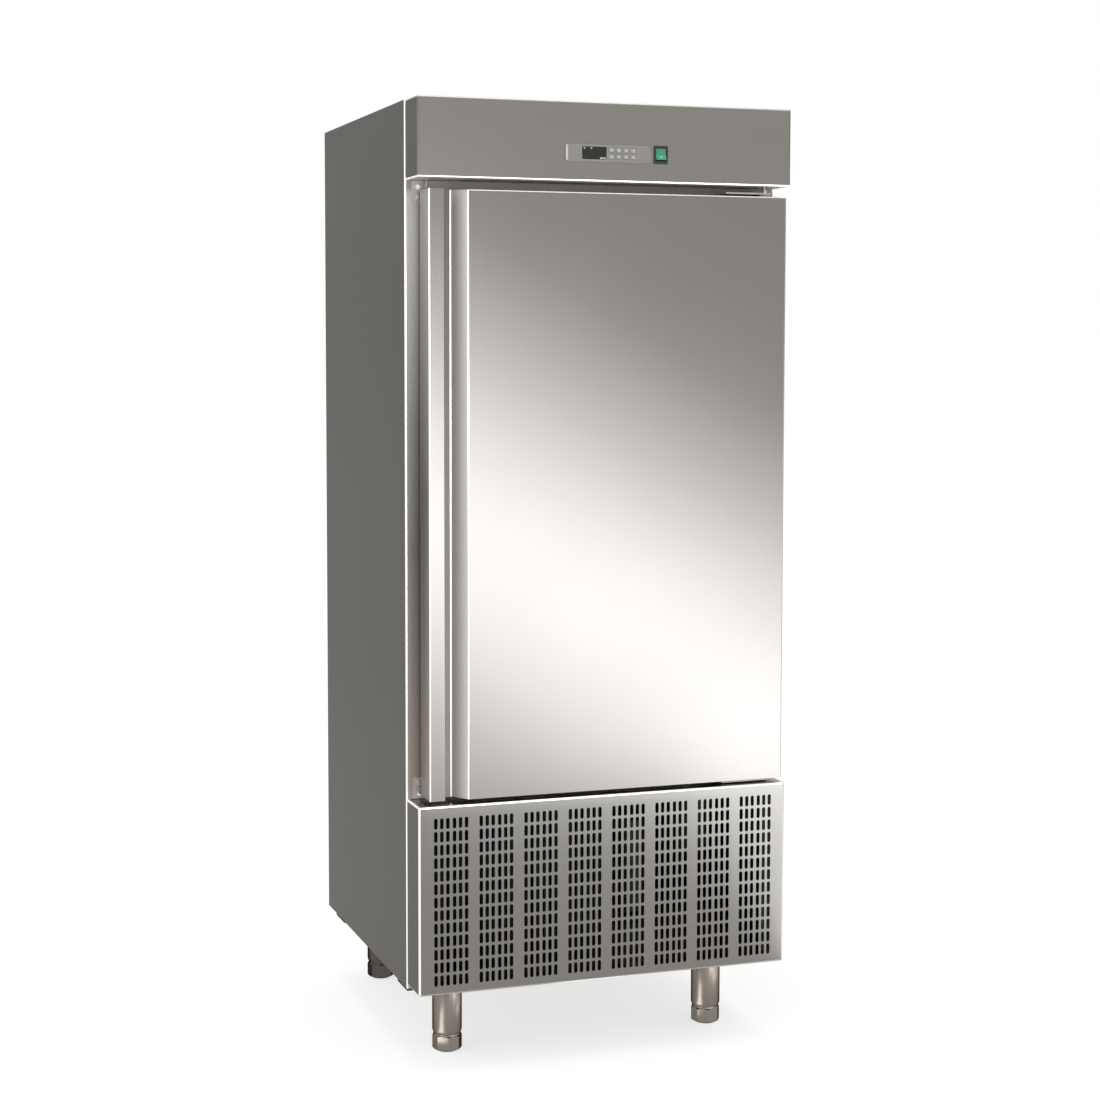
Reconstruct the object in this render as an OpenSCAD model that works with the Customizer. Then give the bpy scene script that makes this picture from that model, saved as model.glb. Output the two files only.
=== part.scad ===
// Tall free-standing blast chiller cabinet with one door, a grille below it and a control fascia above it.
// Origin on the floor under the middle of the object. X runs to the right seen from the front,
// Y runs to the back and Z runs up. All sizes are in millimetres.

/* [Cabinet] */
// Width of the cabinet
body_w = 800; // [660:5:960]
// Depth of the cabinet behind the door, from its front frame to its back
side_d = 670; // [555:5:810]
// How far the fascia and the grille stand in front of the front frame
front_out = 83; // [78:1:110]
// How far the fascia and the grille lie inside the cabinet's sides
front_in = 2; // [0:0.5:4]
// Height of the top above the floor
body_top = 1940; // [1615:5:2330]
// Height of the cabinet's underside above the floor
body_bottom = 160; // [134:1:192]
// Thickness of the outer sheet steel
skin = 1.2; // [1:0.1:2]
// Width of the folded flange on each vertical edge of the side panels
side_flange = 14; // [11:1:17]
// Thickness of the insulated walls, sheets included
wall = 72; // [60:1:90]
// Thickness of the chamber liner sheet
liner_t = 1; // [0.8:0.1:1.5]
// Inner corner radius of the chamber liner
liner_r = 12; // [8:1:20]

/* [Fascia] */
// Height of the fascia
fascia_h = 157; // [135:1:190]
// Height of the controls' centre line above the fascia's lower edge
ctrl_z = 56; // [45:1:70]
// Centre of the controller, left or right of the middle
ctrl_x = -3; // [-60:1:40]
// Width of the controller's front plate
ctrl_w = 182; // [170:1:220]
// Height of the controller's front plate
ctrl_h = 36; // [32:1:44]
// How far the controller's front plate stands out of the fascia
ctrl_proud = 2.5; // [2:0.1:4]
// Depth of the controller's housing behind the fascia
ctrl_body_d = 55; // [40:1:65]
// Width of the display window
window_w = 51; // [40:1:56]
// Height of the display window
window_h = 24; // [20:1:26]
// Centre of the display window from the controller's centre
window_x = -30; // [-36:1:-25]
// Width of one key
key_w = 11; // [9:0.5:12]
// Height of one key
key_h = 9; // [7:0.5:9]
// Space between two keys across
key_gap_x = 4.4; // [3.6:0.1:5]
// Space between the two rows of keys
key_gap_z = 3.6; // [3:0.1:4.4]
// First key's centre from the controller's centre
key_x0 = 7; // [6:0.5:12]
// Travel of a key
key_travel = 0.6; // [0.4:0.1:1]
// Width of the switch's frame
switch_w = 31; // [29:0.5:38]
// Height of the switch's frame
switch_h = 37; // [35:0.5:44]
// Space between the controller and the switch's frame
switch_gap = 6.5; // [4:0.5:30]
// Width of the rocker
rocker_w = 20.8; // [16:0.1:22]
// Height of the rocker
rocker_h = 22.4; // [18:0.1:24]
// Tilt of the rocker to each side of its middle
rocker_tilt = 11; // [8:0.5:13]

/* [Door] */
// Thickness of the door without its gasket
door_t = 61; // [55:1:64]
// Thickness of the door's gasket
gasket_t = 11.7; // [10:0.1:13]
// Width of the door's gasket
gasket_w = 20; // [16:1:22]
// Distance from the cabinet's left side to the door
door_left_in = 28; // [22:1:34]
// Distance from the cabinet's right side to the door
door_right_in = 5; // [3:0.5:10]
// Space between the door and the fascia
door_top_gap = 20; // [16:0.5:30]
// Space between the door and the grille
door_bottom_gap = 8; // [7:0.5:14]
// Thickness of the door's outer sheet
door_sheet = 1.5; // [1:0.1:2]
// Width of the lip that the hand pulls
lip_w = 32; // [25:1:38]
// Thickness of the lip
lip_t = 4; // [3:0.5:6]
// Depth of the handle's recess
recess_d = 36; // [28:1:40]
// Width of the recess's mouth, from the lip to the door's front
mouth_w = 48; // [40:1:58]
// Width of the recess's sloping side, measured across the door
slope_w = 23; // [16:1:30]
// Distance from the door's right edge to the hinge axis
hinge_in = 40; // [34:1:41]
// Distance from the front frame to the hinge axis
hinge_out = 48.5; // [48:0.5:52]
// Radius of the hinge pins
pin_r = 5; // [4:0.5:6]
// Wall of the hinge bushes
bush_wall = 4; // [3:0.5:5]
// Depth that a hinge pin reaches into the door
pin_depth = 24; // [18:1:40]

/* [Grille] */
// Height of the grille panel
grille_h = 381; // [317:1:460]
// Height of the grille panel's lower edge above the cabinet's underside
grille_lift = 7; // [0:1:16]
// Thickness of the grille sheet
grille_t = 1.5; // [1:0.1:2]
// Width of one slot
slot_w = 7.5; // [6:0.1:8.5]
// Height of one slot
slot_h = 22; // [16:0.5:23]
// Bar between two slots across
slot_bar_x = 5; // [4:0.1:6]
// Extra width of the bar between the third and the fourth slot of a group
slot_split = 1.3; // [0:0.1:2]
// Bar between two rows of slots
slot_bar_z = 4.4; // [3.6:0.1:6]
// Number of slot groups
group_n = 8; // [6:1:8]
// Distance from the grille's left and right edges to the first slot
slot_margin = 31.25; // [24:0.25:60]
// Distance from the grille's top edge to the first row
row_top = 24; // [18:1:30]
// Least distance from the last row to the grille's lower edge
row_bottom = 18; // [14:1:40]

/* [Legs] */
// Outer radius of a leg tube
leg_r = 31; // [26:0.5:37]
// Distance from the cabinet's side to a leg's centre
leg_in_x = 108; // [60:1:130]
// Distance from the front frame to a front leg's centre
leg_in_front = 77; // [50:1:110]
// Distance from the back to a rear leg's centre
leg_in_back = 64; // [50:1:110]
// Height of a leg rail
rail_h = 18; // [12:1:24]
// Width of a leg rail
rail_w = 74; // [70:1:90]
// Height of the foot's eight-sided part
foot_h = 34; // [26:0.5:41]
// Space between the foot's eight-sided part and the leg tube
foot_gap = 2.5; // [1:0.5:12]
// Height that a foot can be screwed out
foot_travel = 40; // [20:1:45]

/* [Chamber] */
// Depth of the space that holds the evaporator and its fans
evap_d = 180; // [150:1:216]
// Radius of a fan's blades
fan_r = 145; // [110:1:174]
// Distance between tray levels
level_dz = 67; // [55:1:81]
// Height of the lowest tray level above the chamber's floor
level_z0 = 60; // [45:1:80]
// Least space above the highest tray level
level_top = 80; // [40:1:120]
// Space between the tray runners and the fan shroud
runner_gap = 3; // [2:1:30]
// Width of a tray runner's ledge
ledge_w = 30; // [20:1:40]

/* [Machine room] */
// Width of the condenser
cond_w = 400; // [333:1:480]
// Space between the condenser and the deck above it
cond_gap = 28.4; // [20:0.1:60]
// Radius of the condenser fan's blades
cond_fan_r = 120; // [90:1:144]
// Radius of the compressor's shell
comp_r = 88; // [70:1:95]
// Height of the compressor's shell
comp_h = 240; // [200:5:270]

/* [Hidden] */

$fn = 48;
// Clearances
slide_gap = 0.3;     // between a moving piece and the piece round it
run_gap = 0.08;      // between a shaft and its bore
seat_gap = 0.1;      // between round pieces that are fixed in each other
past = 5;            // length by which a cut runs past the sheet it cuts

// Rocker: the flush half stands this far out of the fascia, and the other half stands out further
rocker_face = 1.4;
rocker_arm = 5;                               // from the pivot to the bottom of the rocker's valley
rocker_out = rocker_face + rocker_h / 2 * sin(2 * rocker_tilt);

// Planes from left to right
x_right = body_w / 2;
x_inner = x_right - skin;                     // inside of the side panels
x_flange = x_right - side_flange;             // inner edge of the side panels' flanges
x_front = x_right - front_in;                 // sides of the fascia and the grille
x_chamber = x_right - wall;                   // inside of the chamber liner
x_door_l = -x_right + door_left_in;
x_door_r = x_right - door_right_in;
x_hinge = x_door_r - hinge_in;

// Planes from front to back
total_d = side_d + front_out + rocker_out;
y_back = total_d / 2;
y_frame = y_back - side_d;                    // front frame
y_front = y_frame - front_out;                // front of the fascia and the grille
y_door_b = y_frame - gasket_t - slide_gap;    // back of the door
y_door_f = y_door_b - door_t;                 // front of the door
y_hinge = y_frame - hinge_out;
y_chamber = y_back - wall;                    // back wall of the chamber
y_shroud = y_chamber - evap_d;                // front of the fan shroud

// Levels from the floor up
z_grille_b = body_bottom + grille_lift;
z_grille_t = z_grille_b + grille_h;
z_fascia = body_top - fascia_h;
z_door_b = z_grille_t + door_bottom_gap;
z_door_t = z_fascia - door_top_gap;
z_floor_in = z_grille_t + wall;               // chamber's floor
z_ceil_in = z_fascia - wall;                  // chamber's ceiling
z_mid_in = (z_floor_in + z_ceil_in) / 2;
z_ctrl = z_fascia + ctrl_z;

// Shapes that several pieces use
module box(x0, x1, y0, y1, z0, z1) {
    translate([x0, y0, z0]) cube([x1 - x0, y1 - y0, z1 - z0]);
}
module rod_x(x0, x1, y, z, r) {
    translate([x0, y, z]) rotate([0, 90, 0]) cylinder(h = x1 - x0, r = r);
}
module rod_y(x, y0, y1, z, r) {
    translate([x, y0, z]) rotate([-90, 0, 0]) cylinder(h = y1 - y0, r = r);
}
module rod_z(x, y, z0, z1, r) {
    translate([x, y, z0]) cylinder(h = z1 - z0, r = r);
}
module round_rect(w, h, r) {
    square([w - 2 * r, h], center = true);
    square([w, h - 2 * r], center = true);
    for (sx = [-1, 1]) for (sy = [-1, 1])
        translate([sx * (w / 2 - r), sy * (h / 2 - r)]) circle(r = r);
}
// A rounded plate that faces the front, between the planes y0 and y1
module front_plate(x, z, w, h, r, y0, y1) {
    translate([x, y1, z]) rotate([90, 0, 0]) linear_extrude(height = y1 - y0) round_rect(w, h, r);
}

// ---------------------------------------------------------------- cabinet sheets

// Left side panel in plan: a flat side with a flange folded in at the front and at the back
module side_panel() {
    linear_extrude(height = body_top - body_bottom)
        polygon([[-x_right, y_frame], [-x_flange, y_frame], [-x_flange, y_frame + skin],
                 [-x_inner, y_frame + skin], [-x_inner, y_back - skin], [-x_flange, y_back - skin],
                 [-x_flange, y_back], [-x_right, y_back]]);
}
module left_side_panel() {
    color("#6b6863") translate([0, 0, body_bottom]) side_panel();
}
module right_side_panel() {
    color("#6b6863") translate([0, 0, body_bottom]) mirror([1, 0, 0]) side_panel();
}
module top_panel() {
    color("#8a8782")
        box(-x_inner, x_inner, y_frame + skin, y_back - skin, body_top - skin, body_top);
}
module back_panel() {
    color("#8a8782") box(-x_flange, x_flange, y_back - skin, y_back, z_grille_t, body_top);
}

// Recessed lower back sheet with rows of air slots
vent_in = 26;                                 // how far the vent sheet lies inside the back
vent_n = 9;
vent_dz = 30;
vent_slot_w = 250;
vent_slot_h = 12;
gland_z = 60;                                 // cable gland above the underside
gland_x = x_right - 90;
gland_r = 8;
y_vent = y_back - vent_in;
module vent_panel() {
    vent_z0 = z_grille_b + (grille_h - (vent_n - 1) * vent_dz) / 2 + gland_r;
    color("#8a8782") difference() {
        box(-x_inner, x_inner, y_vent - skin, y_vent, body_bottom + skin, z_grille_t - skin);
        for (sx = [-1, 1]) for (i = [0 : vent_n - 1])
            translate([sx * (vent_slot_w / 2 + 20) - vent_slot_w / 2, y_vent - past,
                       vent_z0 + i * vent_dz - vent_slot_h / 2])
                cube([vent_slot_w, 2 * past, vent_slot_h]);
        rod_y(gland_x, y_vent - past, y_vent + past, body_bottom + gland_z, gland_r + seat_gap);
    }
}
module base_panel() {
    color("#77746f")
        box(-x_inner, x_inner, y_frame + skin, y_back - skin, body_bottom, body_bottom + skin);
}
module lower_deck() {
    color("#77746f")
        box(-x_inner, x_inner, y_frame + skin, y_back - skin, z_grille_t - skin, z_grille_t);
}
module upper_deck() {
    color("#77746f") box(-x_inner, x_inner, y_frame + skin, y_back - skin, z_fascia, z_fascia + skin);
}
module chamber_prism(grow, y0, y1) {
    front_plate(0, z_mid_in, 2 * (x_chamber + grow), z_ceil_in - z_floor_in + 2 * grow,
                liner_r + grow, y0, y1);
}
module front_frame() {
    color("#a5a29d") difference() {
        box(-x_flange, x_flange, y_frame, y_frame + skin, z_grille_t, z_fascia + skin);
        chamber_prism(liner_t + seat_gap, y_frame - past, y_frame + past);
        bracket_holes(screw_r, y_frame - past, y_frame + past);
    }
}
module cabinet_insulation() {
    color("#e6d9a8") difference() {
        box(-x_inner, x_inner, y_frame + skin, y_back - skin, z_grille_t, z_fascia);
        chamber_prism(liner_t + seat_gap, y_frame - past, y_chamber + liner_t);
        bracket_holes(screw_r, y_frame, y_frame + screw_len);
    }
}
module chamber_liner() {
    color("#c4c2be") difference() {
        chamber_prism(liner_t, y_frame, y_chamber + liner_t);
        chamber_prism(0, y_frame - past, y_chamber);
    }
}

// ---------------------------------------------------------------- legs and feet

leg_xs = [-x_right + leg_in_x, x_right - leg_in_x];
leg_ys = [y_frame + leg_in_front, y_back - leg_in_back];
tube_low = foot_h + foot_gap;                 // lower edge of the leg tubes
z_rail = body_bottom - rail_h;
rail_t = 2;
rail_end = 12;                                // rail's end inside the cabinet's side
module leg_rails() {
    color("#55534f") for (y = leg_ys) difference() {
        box(-x_right + rail_end, x_right - rail_end, y - rail_w / 2, y + rail_w / 2, z_rail, body_bottom);
        box(-x_right, x_right, y - rail_w / 2 + rail_t, y + rail_w / 2 - rail_t,
            z_rail + rail_t, body_bottom + past);
    }
}
tube_wall = 3;
tube_bevel = 7.5;
bore_r = leg_r - tube_wall;
module leg_tube() {
    difference() {
        union() {
            cylinder(h = tube_bevel, r1 = bore_r + 0.6, r2 = leg_r);
            translate([0, 0, tube_bevel]) cylinder(h = z_rail - tube_low - tube_bevel, r = leg_r);
        }
        translate([0, 0, -past]) cylinder(h = z_rail, r = bore_r);
    }
}
module leg_tubes() {
    color("#8d8a84") for (x = leg_xs) for (y = leg_ys) translate([x, y, tube_low]) leg_tube();
}
foot_flat_r = 22;                             // radius of the flat that stands on the floor
foot_chamfer = 5;                             // height of the chamfer over that flat
foot_shoulder = 3;                            // height of the chamfer at the top of the foot
foot_grip = 22;                               // barrel left in the tube when the foot is fully out
foot_barrel = foot_travel + foot_grip;
module foot(x, y) {
    color("#a19e98") translate([x, y, 0]) {
        intersection() {
            rotate([0, 0, 34]) cylinder(h = foot_h, r = leg_r, $fn = 8);
            union() {
                cylinder(h = foot_chamfer, r1 = foot_flat_r, r2 = leg_r + seat_gap);
                translate([0, 0, foot_chamfer])
                    cylinder(h = foot_h - foot_chamfer - foot_shoulder, r = leg_r + seat_gap);
                translate([0, 0, foot_h - foot_shoulder])
                    cylinder(h = foot_shoulder, r1 = leg_r + seat_gap, r2 = bore_r);
            }
        }
        translate([0, 0, foot_chamfer])
            cylinder(h = tube_low + foot_barrel - foot_chamfer, r = bore_r - run_gap);
    }
}
module foot_front_left() { foot(leg_xs[0], leg_ys[0]); }
module foot_front_right() { foot(leg_xs[1], leg_ys[0]); }
module foot_rear_left() { foot(leg_xs[0], leg_ys[1]); }
module foot_rear_right() { foot(leg_xs[1], leg_ys[1]); }

// ---------------------------------------------------------------- fascia and its controls

key_r = 1.6;
key_proud = 0.8;                              // how far a key stands out of the plate
key_rim = 0.8;                                // rim that keeps a key behind the plate
key_back = 4;                                 // depth of a key behind the plate's back
key_room = 3.4;                               // room behind a pressed key for its contact
key_dx = key_w + key_gap_x;
key_dz = key_h + key_gap_z;
room_x = 14.5;                                // from the last key's rim to the end of its housing's hole
room_z = 3.4;                                 // from the keys' rims up and down to that hole's edges
body_cut_w = 2 * (key_x0 + 3 * key_dx + key_w / 2 + key_rim + room_x);
body_cut_h = key_dz + key_h + 2 * (key_rim + room_z);
ctrl_wall = 2;
switch_x = ctrl_x + ctrl_w / 2 + switch_gap + switch_w / 2;
switch_in_w = rocker_w + 2 * slide_gap;
switch_in_h = rocker_h + 2 * (rocker_arm * sin(rocker_tilt) + slide_gap);
switch_wall = 2;
module fascia() {
    color("#8a8782") difference() {
        box(-x_front, x_front, y_front, y_frame, z_fascia, body_top);
        box(-x_front + skin, x_front - skin, y_front + skin, y_frame + past,
            z_fascia + skin, body_top - skin);
        front_plate(ctrl_x, z_ctrl, body_cut_w, body_cut_h, 1, y_front - past, y_front + past);
        front_plate(switch_x, z_ctrl, switch_in_w + 2 * switch_wall + 2 * seat_gap,
                    switch_in_h + 2 * switch_wall + 2 * seat_gap, 1, y_front - past, y_front + past);
    }
}

// Centres of the eight keys, as X and Z
function key_at(i) = [ctrl_x + key_x0 + (i % 4) * key_dx, z_ctrl + (i < 4 ? 1 : -1) * key_dz / 2];
ctrl_cavity = key_back + key_travel + key_room;      // depth of the hollow behind the plate
module controller_plate() {
    color("#b9bbbd") difference() {
        front_plate(ctrl_x, z_ctrl, ctrl_w, ctrl_h, 3, y_front - ctrl_proud, y_front);
        front_plate(ctrl_x + window_x, z_ctrl, window_w, window_h, 1, y_front - past, y_front + past);
        for (i = [0 : 7])
            front_plate(key_at(i)[0], key_at(i)[1], key_w + 2 * slide_gap, key_h + 2 * slide_gap,
                        key_r + slide_gap, y_front - past, y_front + past);
    }
}
module controller_display() {
    color("#15171c")
        front_plate(ctrl_x + window_x, z_ctrl, window_w - 2 * seat_gap, window_h - 2 * seat_gap, 1,
                    y_front - ctrl_proud + slide_gap, y_front + ctrl_cavity);
}
module controller_body() {
    w = body_cut_w - 2 * seat_gap;
    h = body_cut_h - 2 * seat_gap;
    color("#2b2b2b") difference() {
        box(ctrl_x - w / 2, ctrl_x + w / 2, y_front, y_front + ctrl_body_d, z_ctrl - h / 2, z_ctrl + h / 2);
        box(ctrl_x - w / 2 + ctrl_wall, ctrl_x + w / 2 - ctrl_wall, y_front - past,
            y_front + ctrl_cavity, z_ctrl - h / 2 + ctrl_wall, z_ctrl + h / 2 - ctrl_wall);
    }
}
module key(i) {
    color("#e4e6e8") translate([key_at(i)[0], 0, key_at(i)[1]]) {
        front_plate(0, 0, key_w, key_h, key_r, y_front - ctrl_proud - key_proud, y_front + key_back);
        front_plate(0, 0, key_w + 2 * key_rim, key_h + 2 * key_rim, key_r,
                    y_front + slide_gap, y_front + key_back);
    }
}
module key_1() { key(0); }
module key_2() { key(1); }
module key_3() { key(2); }
module key_4() { key(3); }
module key_5() { key(4); }
module key_6() { key(5); }
module key_7() { key(6); }
module key_8() { key(7); }

stub_r = 1.5;                                 // the rocker's pivot stubs
stub_l = 1.2;
switch_deep = 26;
y_pivot = y_front - rocker_face + rocker_arm * cos(rocker_tilt);
module switch_body() {
    w = switch_in_w + 2 * switch_wall;
    h = switch_in_h + 2 * switch_wall;
    color("#1c1c1c") difference() {
        union() {
            front_plate(switch_x, z_ctrl, switch_w, switch_h, 3, y_front - rocker_face, y_front);
            box(switch_x - w / 2, switch_x + w / 2, y_front, y_front + switch_deep,
                z_ctrl - h / 2, z_ctrl + h / 2);
        }
        box(switch_x - switch_in_w / 2, switch_x + switch_in_w / 2, y_front - past,
            y_front + switch_deep - switch_wall, z_ctrl - switch_in_h / 2, z_ctrl + switch_in_h / 2);
        rod_x(switch_x - rocker_w / 2 - stub_l - slide_gap, switch_x + rocker_w / 2 + stub_l + slide_gap,
              y_pivot, z_ctrl, stub_r + run_gap);
    }
}
// The rocker's outline from the side: a shallow valley whose upper half lies flush at rest
module power_rocker() {
    half = rocker_h / 2;
    edge_y = -rocker_arm - half * sin(rocker_tilt);
    edge_z = half * cos(rocker_tilt);
    back_y = 3;
    color("#1f9a63") translate([switch_x, y_pivot, z_ctrl]) rotate([-rocker_tilt, 0, 0]) {
        translate([-rocker_w / 2, 0, 0]) rotate([90, 0, 90]) linear_extrude(height = rocker_w)
            polygon([[-rocker_arm, 0], [edge_y, edge_z], [edge_y + 2, edge_z + 0.2], [back_y, half - 2],
                     [back_y, 2 - half], [edge_y + 2, -edge_z - 0.2], [edge_y, -edge_z]]);
        rod_x(-rocker_w / 2 - stub_l, rocker_w / 2 + stub_l, 0, 0, stub_r);
    }
}
module control_box() {
    box_x0 = x_right - 340;
    box_y0 = y_frame + 120;
    color("#d9dadb") box(box_x0, box_x0 + 280, box_y0, box_y0 + 180, z_fascia + skin, z_fascia + skin + 100);
}

// ---------------------------------------------------------------- door

x_lip = x_door_l + lip_w;                     // lip's free edge
x_fold = x_lip + mouth_w;                     // where the door's front starts
x_slope = x_fold - slope_w;                   // foot of the sloping side
y_recess = y_door_f + recess_d;               // floor of the recess
lip_wall = 3;                                 // sheet at the door's left edge, folded double
door_liner_t = 1.2;
bevel_x = 10;                                 // bevel on the hinge side, so that the door clears the frame
bevel_y = 11;
bush_r = pin_r + run_gap + bush_wall;
flange_r = bush_r + 3;
slope_run = slope_w / recess_d;               // how far the sloping side moves across per millimetre of depth
function slope_x(depth) = x_fold - slope_run * depth;
module door_outline(rear) {
    polygon([[x_door_l, y_door_f], [x_door_r, y_door_f], [x_door_r, rear - bevel_y],
             [x_door_r - bevel_x, rear], [x_door_l, rear]]);
}
module recess_outline() {
    polygon([[x_door_l + lip_wall, y_door_f + lip_t], [x_lip, y_door_f + lip_t], [x_lip, y_door_f - past],
             [slope_x(-past), y_door_f - past], [x_slope, y_recess], [x_door_l + lip_wall, y_recess]]);
}
// Everything behind the outer sheet, in plan
module foam_outline() {
    across = door_sheet * sqrt(1 + slope_run * slope_run);
    rear = y_door_b - door_liner_t;
    polygon([[x_door_l + door_sheet, y_recess + door_sheet],
             [slope_x(recess_d + door_sheet) + across, y_recess + door_sheet],
             [slope_x(door_sheet) + across, y_door_f + door_sheet],
             [x_door_r - door_sheet, y_door_f + door_sheet],
             [x_door_r - door_sheet, rear - bevel_y], [x_door_r - bevel_x - door_sheet, rear],
             [x_door_l + door_sheet, rear]]);
}
module door_bores(r) {
    translate([x_hinge, y_hinge, z_door_b - past]) cylinder(h = past + pin_depth + seat_gap, r = r);
    translate([x_hinge, y_hinge, z_door_t - pin_depth - seat_gap])
        cylinder(h = past + pin_depth + seat_gap, r = r);
}
module door_skin() {
    color("#c9c6c2") difference() {
        translate([0, 0, z_door_b]) linear_extrude(height = z_door_t - z_door_b) difference() {
            door_outline(y_door_b - door_liner_t);
            recess_outline();
        }
        translate([0, 0, z_door_b + door_sheet])
            linear_extrude(height = z_door_t - z_door_b - 2 * door_sheet) foam_cut();
        door_bores(bush_r + seat_gap);
    }
}
// The foam's outline, run past the open rear of the outer sheet
module foam_cut() {
    foam_outline();
    translate([x_door_l + door_sheet, y_door_b - door_liner_t - seat_gap])
        square([x_door_r - x_door_l - bevel_x - 2 * door_sheet, past]);
}
module door_insulation() {
    color("#e6d9a8") difference() {
        translate([0, 0, z_door_b + door_sheet])
            linear_extrude(height = z_door_t - z_door_b - 2 * door_sheet) foam_outline();
        door_bores(bush_r + seat_gap);
    }
}
module door_liner() {
    color("#bdbbb7")
        box(x_door_l, x_door_r - bevel_x, y_door_b - door_liner_t, y_door_b, z_door_b, z_door_t);
}
// The gasket's ring lies on the front frame, a little outside the chamber's mouth
gasket_in = 4;
module gasket_ring(inset, y0, y1) {
    grow = gasket_in + gasket_w - inset;
    front_plate(0, z_mid_in, 2 * (x_chamber + grow), z_ceil_in - z_floor_in + 2 * grow,
                liner_r + grow, y0, y1);
}
module door_gasket() {
    color("#3a3a3a") difference() {
        gasket_ring(0, y_door_b, y_door_b + gasket_t);
        gasket_ring(gasket_w, y_door_b - past, y_door_b + gasket_t + past);
    }
}
flange_t = door_top_gap / 5 - slide_gap;      // a bush's flange fills the space to the top bracket
low_flange_t = 2.4;
module hinge_bushes() {
    color("#d8d8d0") translate([x_hinge, y_hinge, 0]) {
        difference() {
            union() {
                translate([0, 0, z_door_t - pin_depth]) cylinder(h = pin_depth, r = bush_r);
                translate([0, 0, z_door_t]) cylinder(h = flange_t, r = flange_r);
            }
            translate([0, 0, z_door_t - pin_depth - past])
                cylinder(h = pin_depth + 2 * past + flange_t, r = pin_r + run_gap);
        }
        difference() {
            union() {
                translate([0, 0, z_door_b]) cylinder(h = pin_depth, r = bush_r);
                translate([0, 0, z_door_b - low_flange_t]) cylinder(h = low_flange_t, r = flange_r);
            }
            translate([0, 0, z_door_b - low_flange_t - past])
                cylinder(h = pin_depth + 2 * past + low_flange_t, r = pin_r + run_gap);
        }
    }
}

// ---------------------------------------------------------------- hinges and the blank side

bracket_t = 4;
low_bracket_t = 3;
bracket_w = 42;                               // width of the leg behind the door
bracket_off = 50;                             // from the hinge axis to the leg, outside the door's swing
z_bracket_t = z_door_t + door_top_gap / 5;    // underside of the top bracket's plate
z_bracket_b = z_door_b - low_flange_t - slide_gap;   // top of the bottom bracket's plate
bracket_tip = 14;                             // plate beyond the pin
z_leg_t = z_ceil_in + gasket_in + gasket_w + 2;      // the legs end just outside the gasket
z_leg_b = z_floor_in - gasket_in - gasket_w - 2;
bracket_x1 = x_hinge - bracket_off;
bracket_x0 = bracket_x1 - bracket_w;
module bracket_plate(z0, t) {
    difference() {
        box(bracket_x0, x_hinge + bracket_tip, y_hinge - bracket_tip, y_frame, z0, z0 + t);
        rod_z(x_hinge, y_hinge, z0 - past, z0 + t + past, pin_r);
    }
}
screw_r = 3;
screw_zs = [(z_leg_t + z_bracket_t) / 2, (z_leg_b + z_bracket_b) / 2];
screw_in = 10;                                // from the leg's edges to its screws
screw_xs = [bracket_x0 + screw_in, bracket_x1 - screw_in];
module bracket_holes(r, y0, y1) {
    for (x = screw_xs) for (z = screw_zs) rod_y(x, y0, y1, z, r);
    for (z = stop_screw_zs) rod_y(stop_screw_x, y0, y1, z, r);
}
module bracket_leg(z0, z1) {
    difference() {
        box(bracket_x0, bracket_x1, y_frame - bracket_t, y_frame, z0, z1);
        bracket_holes(screw_r, y_frame - 2 * bracket_t, y_frame + past);
    }
}
module hinge_bracket_top() {
    color("#9b9893") union() {
        bracket_plate(z_bracket_t, bracket_t);
        bracket_leg(z_leg_t, z_bracket_t);
    }
}
module hinge_bracket_bottom() {
    color("#9b9893") union() {
        bracket_plate(z_bracket_b - low_bracket_t, low_bracket_t);
        bracket_leg(z_bracket_b, z_leg_b);
    }
}
module hinge_pins() {
    color("#c8c8c8") {
        rod_z(x_hinge, y_hinge, z_door_t - pin_depth + 1, z_fascia - slide_gap, pin_r);
        rod_z(x_hinge, y_hinge, z_bracket_b - low_bracket_t, z_door_b + pin_depth - 1, pin_r);
    }
}
// Small angle plates where the hinges would sit if the door opened to the other side
stop_t = 2;
stop_w = 26;
stop_h = 42;
stop_reach = 22;                              // how far the tab stands out of the front frame
stop_tab_t = door_bottom_gap - 2.8;           // height of the lower tab, in the gap under the door
module stop_plate(z0, tab_z0, tab_z1) {
    x0 = -x_flange;
    difference() {
        union() {
            box(x0, x0 + stop_w, y_frame - stop_t, y_frame, z0, z0 + stop_h);
            box(x0 + stop_w - stop_t, x0 + stop_w, y_frame - stop_reach, y_frame, tab_z0, tab_z1);
        }
        bracket_holes(screw_r, y_frame - past, y_frame + past);
    }
}
stop_screw_x = -x_flange + 12;
z_stop_t = z_fascia - stop_h - 1;
z_stop_b = z_grille_t + 1.5;
stop_screw_zs = [z_stop_t + 10, z_stop_t + 30, z_stop_b + 10, z_stop_b + 30];
module stop_plates() {
    color("#a9a6a1") {
        stop_plate(z_stop_t, z_door_t + 4, z_stop_t + stop_h);
        stop_plate(z_stop_b, z_stop_b, z_stop_b + stop_tab_t);
    }
}
screw_len = 12;
head_h = 2.6;
head_r = 5;
module screw(x, z, plate_t) {
    y0 = y_frame - plate_t;
    difference() {
        union() {
            rod_y(x, y0, y0 + screw_len, z, screw_r - seat_gap);
            rod_y(x, y0 - head_h, y0, z, head_r);
        }
        translate([x, y0 - head_h + 1.6, z]) rotate([90, 0, 0]) cylinder(h = past, r = 2, $fn = 6);
    }
}
module bracket_screws() {
    color("#d0d0d0") {
        for (x = screw_xs) for (z = screw_zs) screw(x, z, bracket_t);
        for (z = stop_screw_zs) screw(stop_screw_x, z, stop_t);
    }
}

// ---------------------------------------------------------------- grille

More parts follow.
